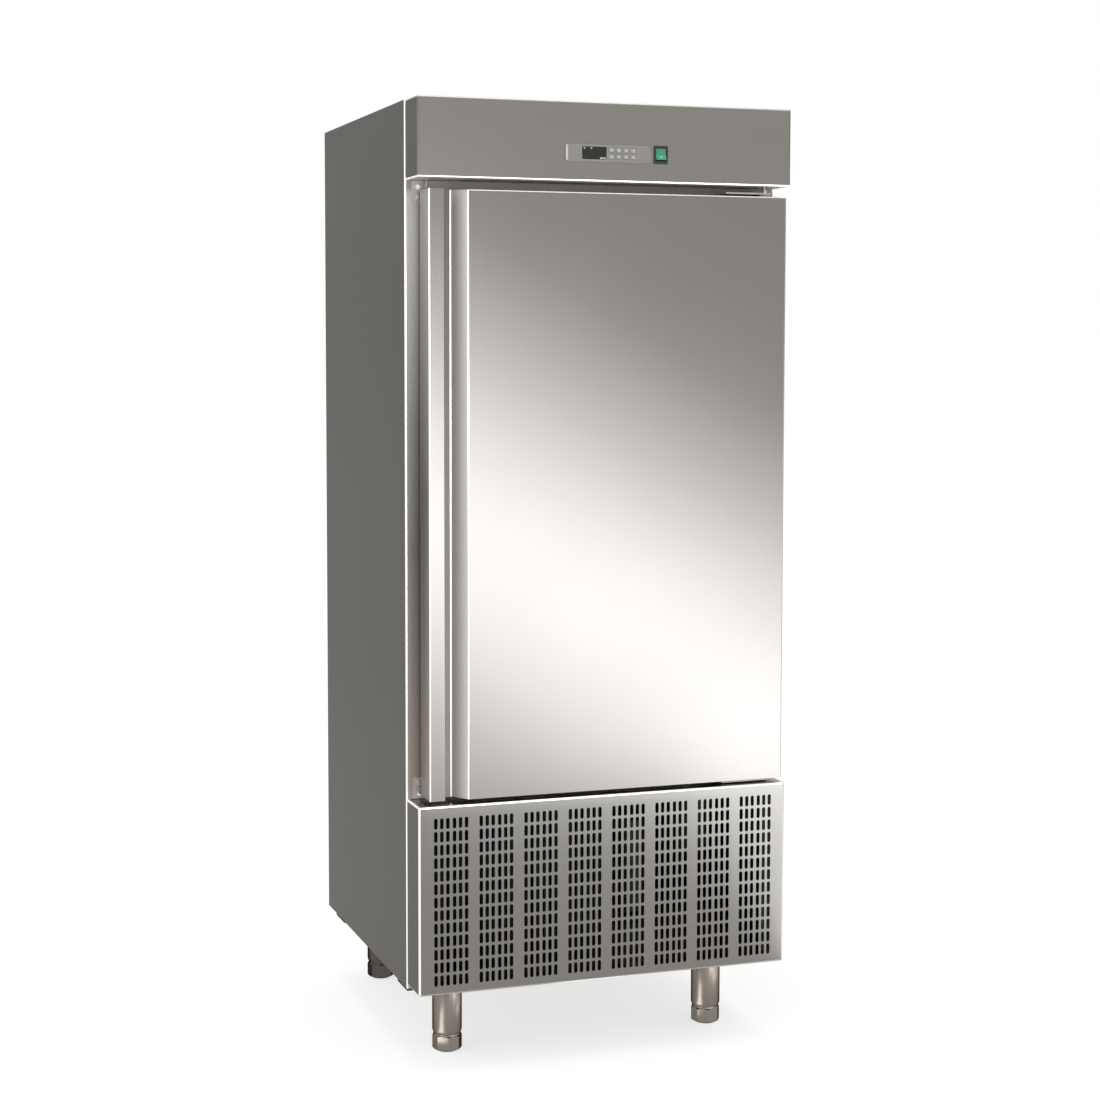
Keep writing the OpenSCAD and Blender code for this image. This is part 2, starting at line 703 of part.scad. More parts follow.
slot_dx = slot_w + slot_bar_x;
slot_dz = slot_h + slot_bar_z;
group_w = 5 * slot_dx + slot_split;
slot_x0 = -x_front + slot_margin + slot_w / 2;
group_dx = (-2 * slot_x0 - group_w) / (group_n - 1);
row_n = floor((grille_h - row_top - row_bottom - slot_h) / slot_dz) + 1;
function slot_x(g, s) = slot_x0 + g * group_dx + s * slot_dx + (s > 2 ? slot_split : 0);
slot_z0 = z_grille_t - row_top - slot_h;
module grille_panel() {
    color("#93908b") difference() {
        box(-x_front, x_front, y_front, y_frame, z_grille_b, z_grille_t);
        box(-x_front + grille_t, x_front - grille_t, y_front + grille_t, y_frame + past,
            z_grille_b + grille_t, z_grille_t - grille_t);
        for (g = [0 : group_n - 1]) for (s = [0 : 5]) for (r = [0 : row_n - 1])
            translate([slot_x(g, s) - slot_w / 2, y_front - past, slot_z0 - r * slot_dz])
                cube([slot_w, 2 * past, slot_h]);
    }
}

// ---------------------------------------------------------------- chamber fittings

upright_w = 30;
upright_d = 15;
upright_t = 1.2;
runner_in = 35;                               // from the front frame to the runners
upright_in = 5;                               // from the runners' front ends to the front uprights
runner_y = y_frame + runner_in;
runner_d = y_shroud - runner_gap - runner_y;
upright_ys = [runner_y + upright_in, runner_y + upright_in + runner_d - 2 * upright_w];
upright_end = 4;                              // from the liner's rounded corner to an upright's end
// Each upright is a rectangular tube whose back lies on the chamber's side wall
module rack_uprights() {
    color("#b5b3af") for (sx = [-1, 1]) for (y = upright_ys)
        translate([sx * (x_chamber - upright_d / 2), y + upright_w / 2, z_floor_in + liner_r + upright_end])
            linear_extrude(height = z_ceil_in - z_floor_in - 2 * (liner_r + upright_end)) difference() {
                square([upright_d, upright_w], center = true);
                square([upright_d - 2 * upright_t, upright_w - 2 * upright_t], center = true);
            }
}
runner_t = 1.5;
runner_up = 20;
level_n = floor((z_ceil_in - z_floor_in - level_z0 - level_top) / level_dz) + 1;
module tray_runner() {
    x_out = x_chamber - upright_d;
    box(x_out - runner_t, x_out, runner_y, runner_y + runner_d, 0, runner_up);
    box(x_out - ledge_w, x_out, runner_y, runner_y + runner_d, 0, runner_t);
}
module tray_runners() {
    color("#b5b3af") for (i = [0 : level_n - 1])
        translate([0, 0, z_floor_in + level_z0 + i * level_dz]) {
            tray_runner();
            mirror([1, 0, 0]) tray_runner();
        }
}
fan_gap = 7;                                  // between the blades and the hole in the shroud
shroud_hw = x_chamber - 28;                   // half the shroud's width
shroud_end = 62;                              // air gap above and below the shroud
fan_dz = (z_ceil_in - z_floor_in - 2 * shroud_end) / 4;      // each fan is in the middle of its half
fan_zs = [z_mid_in + fan_dz, z_mid_in - fan_dz];
module fan_shroud() {
    color("#bdbbb7") difference() {
        box(-shroud_hw, shroud_hw, y_shroud, y_chamber, z_floor_in + shroud_end, z_ceil_in - shroud_end);
        box(-shroud_hw + skin, shroud_hw - skin, y_shroud + skin, y_chamber + past,
            z_floor_in + shroud_end - past, z_ceil_in - shroud_end + past);
        for (z = fan_zs) rod_y(0, y_shroud - past, y_shroud + past, z, fan_r + fan_gap);
    }
}
wire_r = 1.6;
guard_gap = 7;                                // from the shroud to the guard's wires
guard_rings = [0.28, 0.46, 0.64, 0.82];
module fan_guard(z) {
    r_out = fan_r + fan_gap + 6;
    y = y_shroud - guard_gap;
    translate([0, y, z]) rotate([-90, 0, 0]) {
        for (k = guard_rings) rotate_extrude() translate([k * r_out, 0]) circle(r = wire_r, $fn = 16);
        rotate_extrude() translate([r_out, 0]) circle(r = wire_r, $fn = 16);
    }
    for (a = [45 : 90 : 315]) {
        translate([0, y, z]) rotate([0, a, 0])
            rod_x(guard_rings[0] * r_out, r_out, 0, 0, wire_r * 0.8);
        translate([r_out * cos(a), y, z - r_out * sin(a)]) rotate([0, a, 0])
            box(-4, 4, 0, guard_gap, -5, 5);
    }
}
module fan_guards() {
    color("#d5d5d5") for (z = fan_zs) fan_guard(z);
}
hub_r = 32;
shaft_r = 4;
blade_d = 24;                                 // depth of the blades along the shaft
fan_in = 8;                                   // from the shroud's front to the evaporator fans' blades
y_fan = y_shroud + fan_in;
// A fan that blows to the front. Its hub has a bore for the motor's shaft.
module fan_rotor(r, blades, depth) {
    difference() {
        cylinder(h = depth, r = hub_r);
        translate([0, 0, -past]) cylinder(h = depth + 2 * past, r = shaft_r + run_gap);
    }
    intersection() {
        difference() {
            cylinder(h = depth, r = r);
            translate([0, 0, -past]) cylinder(h = depth + 2 * past, r = hub_r - 2);
        }
        for (i = [0 : blades - 1]) rotate([0, 0, i * 360 / blades]) translate([0, 0, depth / 2])
            rotate([28, 0, 0]) translate([hub_r - 6, -r * 0.24, -1.5]) cube([r, r * 0.48, 3]);
    }
}
module evaporator_fan(z) {
    color("#2e2e30") translate([0, y_fan + blade_d, z]) rotate([90, 0, 0]) fan_rotor(fan_r, 5, blade_d);
}
module evaporator_fan_upper() { evaporator_fan(fan_zs[0]); }
module evaporator_fan_lower() { evaporator_fan(fan_zs[1]); }
motor_l = 44;
motor_bar_w = 30;
motor_bar_t = 3;
module evaporator_motor(z) {
    y0 = y_fan + blade_d + motor_gap;
    y1 = y0 + motor_l;
    arm_x = fan_r + fan_gap + 12;
    rod_y(0, y_fan + 4, y0, z, shaft_r);
    rod_y(0, y0, y1, z, 40);
    box(-arm_x, arm_x, y1, y1 + motor_bar_t, z - motor_bar_w / 2, z + motor_bar_w / 2);
    for (sx = [-1, 1]) translate([sx * (arm_x - motor_bar_t / 2), 0, 0])
        box(-motor_bar_t / 2, motor_bar_t / 2, y_shroud + skin, y1, z - motor_bar_w / 2, z + motor_bar_w / 2);
}
module evaporator_motors() {
    color("#3c3c3e") for (z = fan_zs) evaporator_motor(z);
}
// Finned blocks: a core with grooves between its fins, and an end plate on each side
end_plate_t = 2;
plate_reach = 4;                              // how far the end plates stand out of the core
groove_w = 3;
groove_d = 6;
module finned_block(w, d, h, fin_n) {
    core_w = w - 2 * end_plate_t;
    difference() {
        box(-core_w / 2, core_w / 2, 0, d, 0, h);
        for (i = [1 : fin_n - 1]) translate([i * core_w / fin_n - core_w / 2, 0, 0])
            box(-groove_w / 2, groove_w / 2, -past, groove_d, -past, h + past);
    }
    for (sx = [-1, 1]) translate([sx * (w - end_plate_t) / 2, 0, 0])
        box(-end_plate_t / 2, end_plate_t / 2, -plate_reach, d + plate_reach, 0, h);
}
bend_r = 16;
tube_r = 5;
bend_n = 8;                                   // return bends on each end of a coil
// Return bends on both ends of a block of width w, evenly up the height h
module return_bends(w, d, h) {
    for (side = [0, 1]) mirror([side, 0, 0]) for (i = [0 : bend_n - 1])
        translate([w / 2, d / 2, h * (i + 0.5) / bend_n]) rotate(a = -120, v = [1, 1, 1])
            rotate_extrude(angle = 180) translate([bend_r, 0]) circle(r = tube_r, $fn = 20);
}
evap_hw = shroud_hw - 40;
motor_gap = 2;                                // from a fan's blades to its motor
coil_gap = 7;                                 // from the motors' arms to the evaporator
fans_d = fan_in + blade_d + motor_gap + motor_l + motor_bar_t;
evap_d_block = evap_d - fans_d - coil_gap - 2 * plate_reach;
evap_z0 = z_floor_in + shroud_end + 40;
evap_h = z_ceil_in - z_floor_in - 2 * shroud_end - 80;
module evaporator_coil() {
    color("#b7bcc0") translate([0, y_chamber - evap_d_block - plate_reach, evap_z0]) {
        finned_block(2 * evap_hw, evap_d_block, evap_h, 40);
        return_bends(2 * evap_hw, evap_d_block, evap_h);
    }
}
tray_h = 30;
tray_hw = evap_hw + 10;                       // half the drip tray's width
drain_r = 9;
module drip_tray() {
    y0 = y_chamber - evap_d_block - 30;
    z0 = evap_z0 - tray_h - 4;
    color("#bdbbb7") {
        difference() {
            box(-tray_hw, tray_hw, y0, y_chamber, z0, z0 + tray_h);
            box(-tray_hw + skin, tray_hw - skin, y0 + skin, y_chamber - skin, z0 + skin, z0 + tray_h + past);
        }
        rod_z(0, y_chamber - 40, z_floor_in, z0, drain_r);
    }
}

// ---------------------------------------------------------------- machine room

z_room = body_bottom + skin;                  // floor of the machine room
cond_x = -x_right + 50 + cond_w / 2;
cond_d = 60;
cond_y = y_frame + 16;
cond_h = z_grille_t - cond_gap - z_room;
shroud_d = 70;
cond_z_mid = (z_room + z_grille_t) / 2;       // centre of the condenser's fan
module condenser_coil() {
    color("#4a4d50") translate([cond_x, cond_y, z_room]) {
        finned_block(cond_w, cond_d, cond_h, 50);
        return_bends(cond_w, cond_d, cond_h);
    }
}
y_cowl = cond_y + cond_d + plate_reach;
module condenser_shroud() {
    color("#2f3133") difference() {
        box(cond_x - cond_w / 2, cond_x + cond_w / 2, y_cowl, y_cowl + shroud_d, z_room, z_room + cond_h);
        box(cond_x - cond_w / 2 + skin, cond_x + cond_w / 2 - skin, y_cowl - past, y_cowl + shroud_d - skin,
            z_room + skin, z_room + cond_h - skin);
        rod_y(cond_x, y_cowl, y_cowl + shroud_d + past, cond_z_mid, cond_fan_r + fan_gap);
    }
}
y_cfan = y_cowl + shroud_d - skin - blade_d - 4;
module condenser_fan() {
    color("#39393b") translate([cond_x, y_cfan + blade_d, cond_z_mid]) rotate([90, 0, 0])
        fan_rotor(cond_fan_r, 5, blade_d);
}
module condenser_motor() {
    y0 = y_cfan + blade_d + motor_gap;
    arm = cond_fan_r + fan_gap + 14;
    y1 = y0 + 60;
    color("#58595b") {
        rod_y(cond_x, y_cfan + 4, y0, cond_z_mid, shaft_r);
        rod_y(cond_x, y0, y1, cond_z_mid, 36);
        box(cond_x - arm, cond_x + arm, y1, y1 + motor_bar_t,
            cond_z_mid - motor_bar_w / 2, cond_z_mid + motor_bar_w / 2);
        for (sx = [-1, 1]) translate([cond_x + sx * (arm - motor_bar_t / 2), 0, 0])
            box(-motor_bar_t / 2, motor_bar_t / 2, y_cowl + shroud_d, y1, cond_z_mid - motor_bar_w / 2,
                cond_z_mid + motor_bar_w / 2);
    }
}
comp_x = x_right - 60 - comp_r;
comp_y = y_back - 150 - comp_r;
mount_h = 14;
mount_r = 11;
mount_dx = comp_r - 12;
comp_plate_t = 3;
z_comp = z_room + mount_h;
dome_h = 34;
module compressor() {
    color("#1d1e20") translate([comp_x, comp_y, z_comp]) {
        difference() {
            box(-comp_r - 4, comp_r + 4, -comp_r - 4, comp_r + 4, 0, comp_plate_t);
            for (sx = [-1, 1]) for (sy = [-1, 1])
                translate([sx * mount_dx, sy * mount_dx, -past]) cylinder(h = 3 * past, r = 4);
        }
        translate([0, 0, comp_plate_t]) cylinder(h = comp_h - dome_h, r = comp_r);
        translate([0, 0, comp_plate_t + comp_h - dome_h])
            cylinder(h = dome_h * 0.55, r1 = comp_r, r2 = comp_r * 0.86);
        translate([0, 0, comp_plate_t + comp_h - dome_h * 0.45])
            cylinder(h = dome_h * 0.45, r1 = comp_r * 0.86, r2 = comp_r * 0.5);
        translate([-comp_r - 16, -24, 70]) cube([40, 48, 60]);
    }
}
module compressor_mounts() {
    color("#222222") for (sx = [-1, 1]) for (sy = [-1, 1])
        translate([comp_x + sx * mount_dx, comp_y + sy * mount_dx, z_room]) {
            cylinder(h = mount_h, r = mount_r);
            cylinder(h = mount_h + comp_plate_t + 4, r = 4 - seat_gap);
        }
}
// One pipe from the compressor's top and one from its side, each with round bends
pipe_r = 5;
pipe_bend = 24;
suction_x = 20;                               // the suction pipe, beside the middle of the compressor
suction_r = 8;
pipe_run = 172;                               // from the compressor's middle to the falling pipe
module quarter_bend() {
    rotate([90, 0, 0]) rotate_extrude(angle = 90) translate([pipe_bend, 0]) circle(r = pipe_r, $fn = 24);
}
module refrigerant_pipes() {
    top = z_comp + comp_plate_t + comp_h;
    run_z = top + 30;
    x1 = comp_x - pipe_run;
    color("#b06a3c") {
        rod_z(comp_x - pipe_bend, comp_y, top, run_z - pipe_bend, pipe_r);
        translate([comp_x - 2 * pipe_bend, comp_y, run_z - pipe_bend]) quarter_bend();
        rod_x(x1 + pipe_bend, comp_x - 2 * pipe_bend, comp_y, run_z, pipe_r);
        translate([x1 + pipe_bend, comp_y, run_z - pipe_bend]) mirror([1, 0, 0]) quarter_bend();
        rod_z(x1, comp_y, z_room, run_z - pipe_bend, pipe_r);
        rod_z(comp_x + suction_x, comp_y, top, z_grille_t - skin, suction_r);
    }
}
module cable_gland() {
    color("#2a2a2a") difference() {
        union() {
            rod_y(gland_x, y_vent - skin - 12, y_vent + 16, body_bottom + gland_z, gland_r);
            translate([gland_x, y_vent, body_bottom + gland_z]) rotate([-90, 0, 0])
                cylinder(h = 6, r = gland_r + 4, $fn = 6);
            translate([gland_x, y_vent - skin - 5, body_bottom + gland_z]) rotate([-90, 0, 0])
                cylinder(h = 5, r = gland_r + 4, $fn = 6);
        }
        rod_y(gland_x, y_vent - 4 * past, y_vent + 4 * past, body_bottom + gland_z, 5);
    }
}

left_side_panel();
right_side_panel();
top_panel();
back_panel();
vent_panel();
base_panel();
lower_deck();
upper_deck();
front_frame();
cabinet_insulation();
chamber_liner();
leg_rails();
leg_tubes();
foot_front_left();
foot_front_right();
foot_rear_left();
foot_rear_right();
fascia();
controller_plate();
controller_display();
controller_body();
key_1();
key_2();
key_3();
key_4();
key_5();
key_6();
key_7();
key_8();
switch_body();
power_rocker();
control_box();
door_skin();
door_insulation();
door_liner();
door_gasket();
hinge_bushes();
hinge_bracket_top();
hinge_bracket_bottom();
hinge_pins();
stop_plates();
bracket_screws();
grille_panel();
rack_uprights();
tray_runners();
fan_shroud();
fan_guards();
evaporator_motors();
evaporator_fan_upper();
evaporator_fan_lower();
evaporator_coil();
drip_tray();
condenser_coil();
condenser_shroud();
condenser_fan();
condenser_motor();
compressor();
compressor_mounts();
refrigerant_pipes();
cable_gland();
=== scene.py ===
import math

import bmesh
import bpy
from mathutils import Matrix, Vector
from mathutils.bvhtree import BVHTree


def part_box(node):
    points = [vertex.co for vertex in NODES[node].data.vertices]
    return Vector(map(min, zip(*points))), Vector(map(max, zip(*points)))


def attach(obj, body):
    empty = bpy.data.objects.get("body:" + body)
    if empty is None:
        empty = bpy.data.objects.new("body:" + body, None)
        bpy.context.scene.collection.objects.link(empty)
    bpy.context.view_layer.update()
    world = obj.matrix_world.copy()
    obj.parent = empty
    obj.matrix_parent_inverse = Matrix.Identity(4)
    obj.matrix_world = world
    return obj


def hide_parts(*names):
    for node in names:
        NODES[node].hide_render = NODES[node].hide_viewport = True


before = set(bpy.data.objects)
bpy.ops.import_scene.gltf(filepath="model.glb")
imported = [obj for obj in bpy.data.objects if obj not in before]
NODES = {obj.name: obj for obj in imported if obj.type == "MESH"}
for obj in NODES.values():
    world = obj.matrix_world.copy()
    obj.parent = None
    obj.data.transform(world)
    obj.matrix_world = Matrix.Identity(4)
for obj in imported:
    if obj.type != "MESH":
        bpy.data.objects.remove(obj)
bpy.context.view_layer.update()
KEYS = ["key_%d" % k for k in range(1, 9)]
FEET = ["foot_front_left", "foot_front_right", "foot_rear_left", "foot_rear_right"]
NEAR = 1e-5                     # corners closer than this lie in one plane
CLOSE = 1e-4                    # a face closer than this to a plane belongs to it
APART = 0.01                    # the steps of the door's outline are wider than this


# ---------------------------------------------------------------- sizes from the frame

def span(node):
    lo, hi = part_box(node)
    return lo.x, hi.x, lo.y, hi.y, lo.z, hi.z


def levels(node, y):
    """Sorted x and z positions of a CAD node's corners in the plane at y"""
    at = [v.co for v in NODES[node].data.vertices if abs(v.co.y - y) < NEAR]
    return sorted({round(c.x, 5) for c in at}), sorted({round(c.z, 5) for c in at})


# the door skin's outline from above: the lip's free edge, the recess's inner wall and floor, the
# foot and the fold of its sloping side, and the ends of the two returns
dx0, dx1, dy0, dy1, dz0, dz1 = span("door_skin")
door_front = levels("door_skin", dy0)[0]
x_lip = min(x for x in door_front if x > dx0 + APART)
x_fold = min(x for x in door_front if x > x_lip + APART)
plan = {(round(v.co.x, 5), round(v.co.y, 5)) for v in NODES["door_skin"].data.vertices
        if abs(v.co.z - dz1) < NEAR}
y_lip = min(y for x, y in plan if abs(x - x_lip) < NEAR and y > dy0 + CLOSE)
x_wall = min(x for x, y in plan if x > dx0 + CLOSE and y < dy1 - APART)
y_floor = max(y for x, y in plan if abs(x - x_wall) < NEAR)
x_slope = max(x for x, y in plan if abs(y - y_floor) < NEAR)
x_rear = max(x for x, y in plan if abs(y - dy1) < NEAR)
y_rear = max(y for x, y in plan if abs(x - dx1) < NEAR)


# ---------------------------------------------------------------- materials

def rgb(code):
    """A colour written as #rrggbb, as Blender's linear red, green and blue"""
    part = [int(code[k:k + 2], 16) / 255 for k in (1, 3, 5)]
    return [c / 12.92 if c <= 0.04045 else ((c + 0.055) / 1.055) ** 2.4 for c in part] + [1]


class Graph:
    """Short names for the nodes of one material"""

    def __init__(self, name):
        self.mat = bpy.data.materials.new(name)
        self.mat.use_nodes = True
        self.tree = self.mat.node_tree
        self.shader = self.tree.nodes["Principled BSDF"]
        self.space = self.add("ShaderNodeTexCoord").outputs["Object"]

    def add(self, kind, **values):
        node = self.tree.nodes.new(kind)
        for key, value in values.items():
            setattr(node, key, value)
        return node

    def link(self, a, b):
        self.tree.links.new(a, b)

    def set(self, **values):
        for key, value in values.items():
            self.shader.inputs[key.replace("_", " ")].default_value = value

    def noise(self, scale, detail=2.0, rough=0.5, stretch=(1, 1, 1)):
        place = self.add("ShaderNodeMapping")
        place.inputs["Scale"].default_value = stretch
        self.link(self.space, place.inputs["Vector"])
        node = self.add("ShaderNodeTexNoise")
        node.inputs["Scale"].default_value = scale
        node.inputs["Detail"].default_value = detail
        node.inputs["Roughness"].default_value = rough
        self.link(place.outputs["Vector"], node.inputs["Vector"])
        return node.outputs["Fac"]

    def ramp(self, fac, low, high, out0, out1):
        node = self.add("ShaderNodeMapRange")
        for key, value in (("From Min", low), ("From Max", high),
                           ("To Min", out0), ("To Max", out1)):
            node.inputs[key].default_value = value
        self.link(fac, node.inputs["Value"])
        return node.outputs["Result"]

    def times(self, a, b):
        node = self.add("ShaderNodeMath", operation="MULTIPLY")
        for k, value in enumerate((a, b)):
            if isinstance(value, (int, float)):
                node.inputs[k].default_value = value
            else:
                self.link(value, node.inputs[k])
        return node.outputs[0]

    def tint(self, colour, factor):
        """colour times factor, both of which may be sockets"""
        node = self.add("ShaderNodeVectorMath", operation="SCALE")
        if isinstance(colour, (list, tuple)):
            node.inputs[0].default_value = colour[:3]
        else:
            self.link(colour, node.inputs[0])
        self.link(factor, node.inputs["Scale"])
        return node.outputs[0]

    def fade(self, axis, stops):
        """A colour that changes along the object's x, y or z, from (place, colour) stops"""
        split = self.add("ShaderNodeSeparateXYZ")
        self.link(self.space, split.inputs[0])
        first, last = stops[0][0], stops[-1][0]
        node = self.add("ShaderNodeValToRGB")
        place = self.ramp(split.outputs["XYZ".index(axis)], first, last, 0, 1)
        self.link(place, node.inputs["Fac"])
        marks = node.color_ramp.elements
        for _ in stops[2:]:
            marks.new(0.5)
        for mark, (at, code) in zip(marks, stops):
            mark.position = (at - first) / (last - first)
            mark.color = rgb(code)
        return node.outputs["Color"]

    def bump(self, height, distance, strength=1.0):
        node = self.add("ShaderNodeBump")
        node.inputs["Distance"].default_value = distance
        node.inputs["Strength"].default_value = strength
        self.link(height, node.inputs["Height"])
        self.link(node.outputs["Normal"], self.shader.inputs["Normal"])


ALONG = {"x": (0.006, 1, 1), "z": (1, 1, 0.006)}        # stretches the grain along one axis


def steel(name, colour, rough=0.28, along="z", streak=0.02, cloud=0.015, tint=1.0, metallic=1.0,
          fade=None):
    """Sheet steel with a fine grain that runs along one axis, and faint clouds where it was wiped.
    fade gives an axis and (place, colour) stops of painted light and shade along the sheet, in
    place of its plain colour."""
    g = Graph(name)
    grain = g.noise(700, 3, 0.65, ALONG[along])
    band = g.noise(60, 2, 0.5, ALONG[along])
    wiped = g.noise(3.2, 4, 0.55)
    shade = g.times(g.ramp(grain, 0.3, 0.7, 1 - streak, 1 + streak),
                    g.times(g.ramp(band, 0.3, 0.7, 1 - streak / 3, 1 + streak / 3),
                            g.ramp(wiped, 0.3, 0.7, 1 - cloud, 1 + cloud)))
    g.link(g.tint(g.fade(*fade) if fade else rgb(colour), shade), g.shader.inputs["Base Color"])
    g.link(g.times(g.ramp(grain, 0.3, 0.7, rough * 0.96, rough * 1.04),
                   g.ramp(wiped, 0.3, 0.7, 1.06, 0.94)),
           g.shader.inputs["Roughness"])
    g.bump(grain, 0.00001, 0.1)
    g.set(Metallic=metallic, Specular_Tint=[tint, tint, tint, 1])
    return g.mat


def plastic(name, colour, rough=0.4, grain=900, depth=0.00004, cloud=0.05, specular=0.5,
            coat=0.0):
    """Moulded plastic, rubber or paint with a fine texture and slight unevenness"""
    g = Graph(name)
    fine = g.noise(grain, 2, 0.6)
    broad = g.noise(14, 3, 0.5)
    g.link(g.tint(rgb(colour), g.times(g.ramp(broad, 0.3, 0.7, 1 - cloud, 1 + cloud),
                                       g.ramp(fine, 0.3, 0.7, 1 - cloud / 2, 1 + cloud / 2))),
           g.shader.inputs["Base Color"])
    g.link(g.ramp(broad, 0.3, 0.7, rough * 0.88, rough * 1.12), g.shader.inputs["Roughness"])
    g.bump(fine, depth, 0.7)
    g.set(Specular_IOR_Level=specular, Coat_Weight=coat, Coat_Roughness=0.12)
    return g.mat


def spangle(name, colour, rough=0.42):
    """Hot-dip galvanised sheet with its crystal pattern"""
    g = Graph(name)
    cells = g.add("ShaderNodeTexVoronoi")
    cells.inputs["Scale"].default_value = 95
    g.link(g.space, cells.inputs["Vector"])
    tone = g.add("ShaderNodeSeparateColor")
    g.link(cells.outputs["Color"], tone.inputs["Color"])
    g.link(g.tint(rgb(colour), g.times(g.ramp(tone.outputs[0], 0, 1, 0.9, 1.1),
                                       g.ramp(g.noise(5, 3), 0.3, 0.7, 0.94, 1.06))),
           g.shader.inputs["Base Color"])
    g.link(g.ramp(tone.outputs[1], 0, 1, rough * 0.85, rough * 1.15), g.shader.inputs["Roughness"])
    g.set(Metallic=1.0)
    return g.mat


def foam(name, colour):
    """Cut rigid polyurethane foam with fine open pores"""
    g = Graph(name)
    pores = g.noise(420, 4, 0.7)
    g.link(g.tint(rgb(colour), g.ramp(pores, 0.35, 0.65, 0.82, 1.06)),
           g.shader.inputs["Base Color"])
    g.bump(pores, 0.0006, 0.8)
    g.set(Roughness=0.9, Specular_IOR_Level=0.2)
    return g.mat


def fins(name, colour, pitch, axis):
    """Thin pressed fins, seen as fine bright and dark lines"""
    g = Graph(name)
    wave = g.add("ShaderNodeTexWave", bands_direction=axis)
    wave.inputs["Scale"].default_value = 0.5 / pitch
    g.link(g.space, wave.inputs["Vector"])
    g.link(g.tint(rgb(colour), g.times(g.ramp(wave.outputs["Fac"], 0, 1, 0.72, 1.12),
                                       g.ramp(g.noise(25, 3), 0.3, 0.7, 0.92, 1.08))),
           g.shader.inputs["Base Color"])
    g.set(Metallic=0.9, Roughness=0.42)
    return g.mat


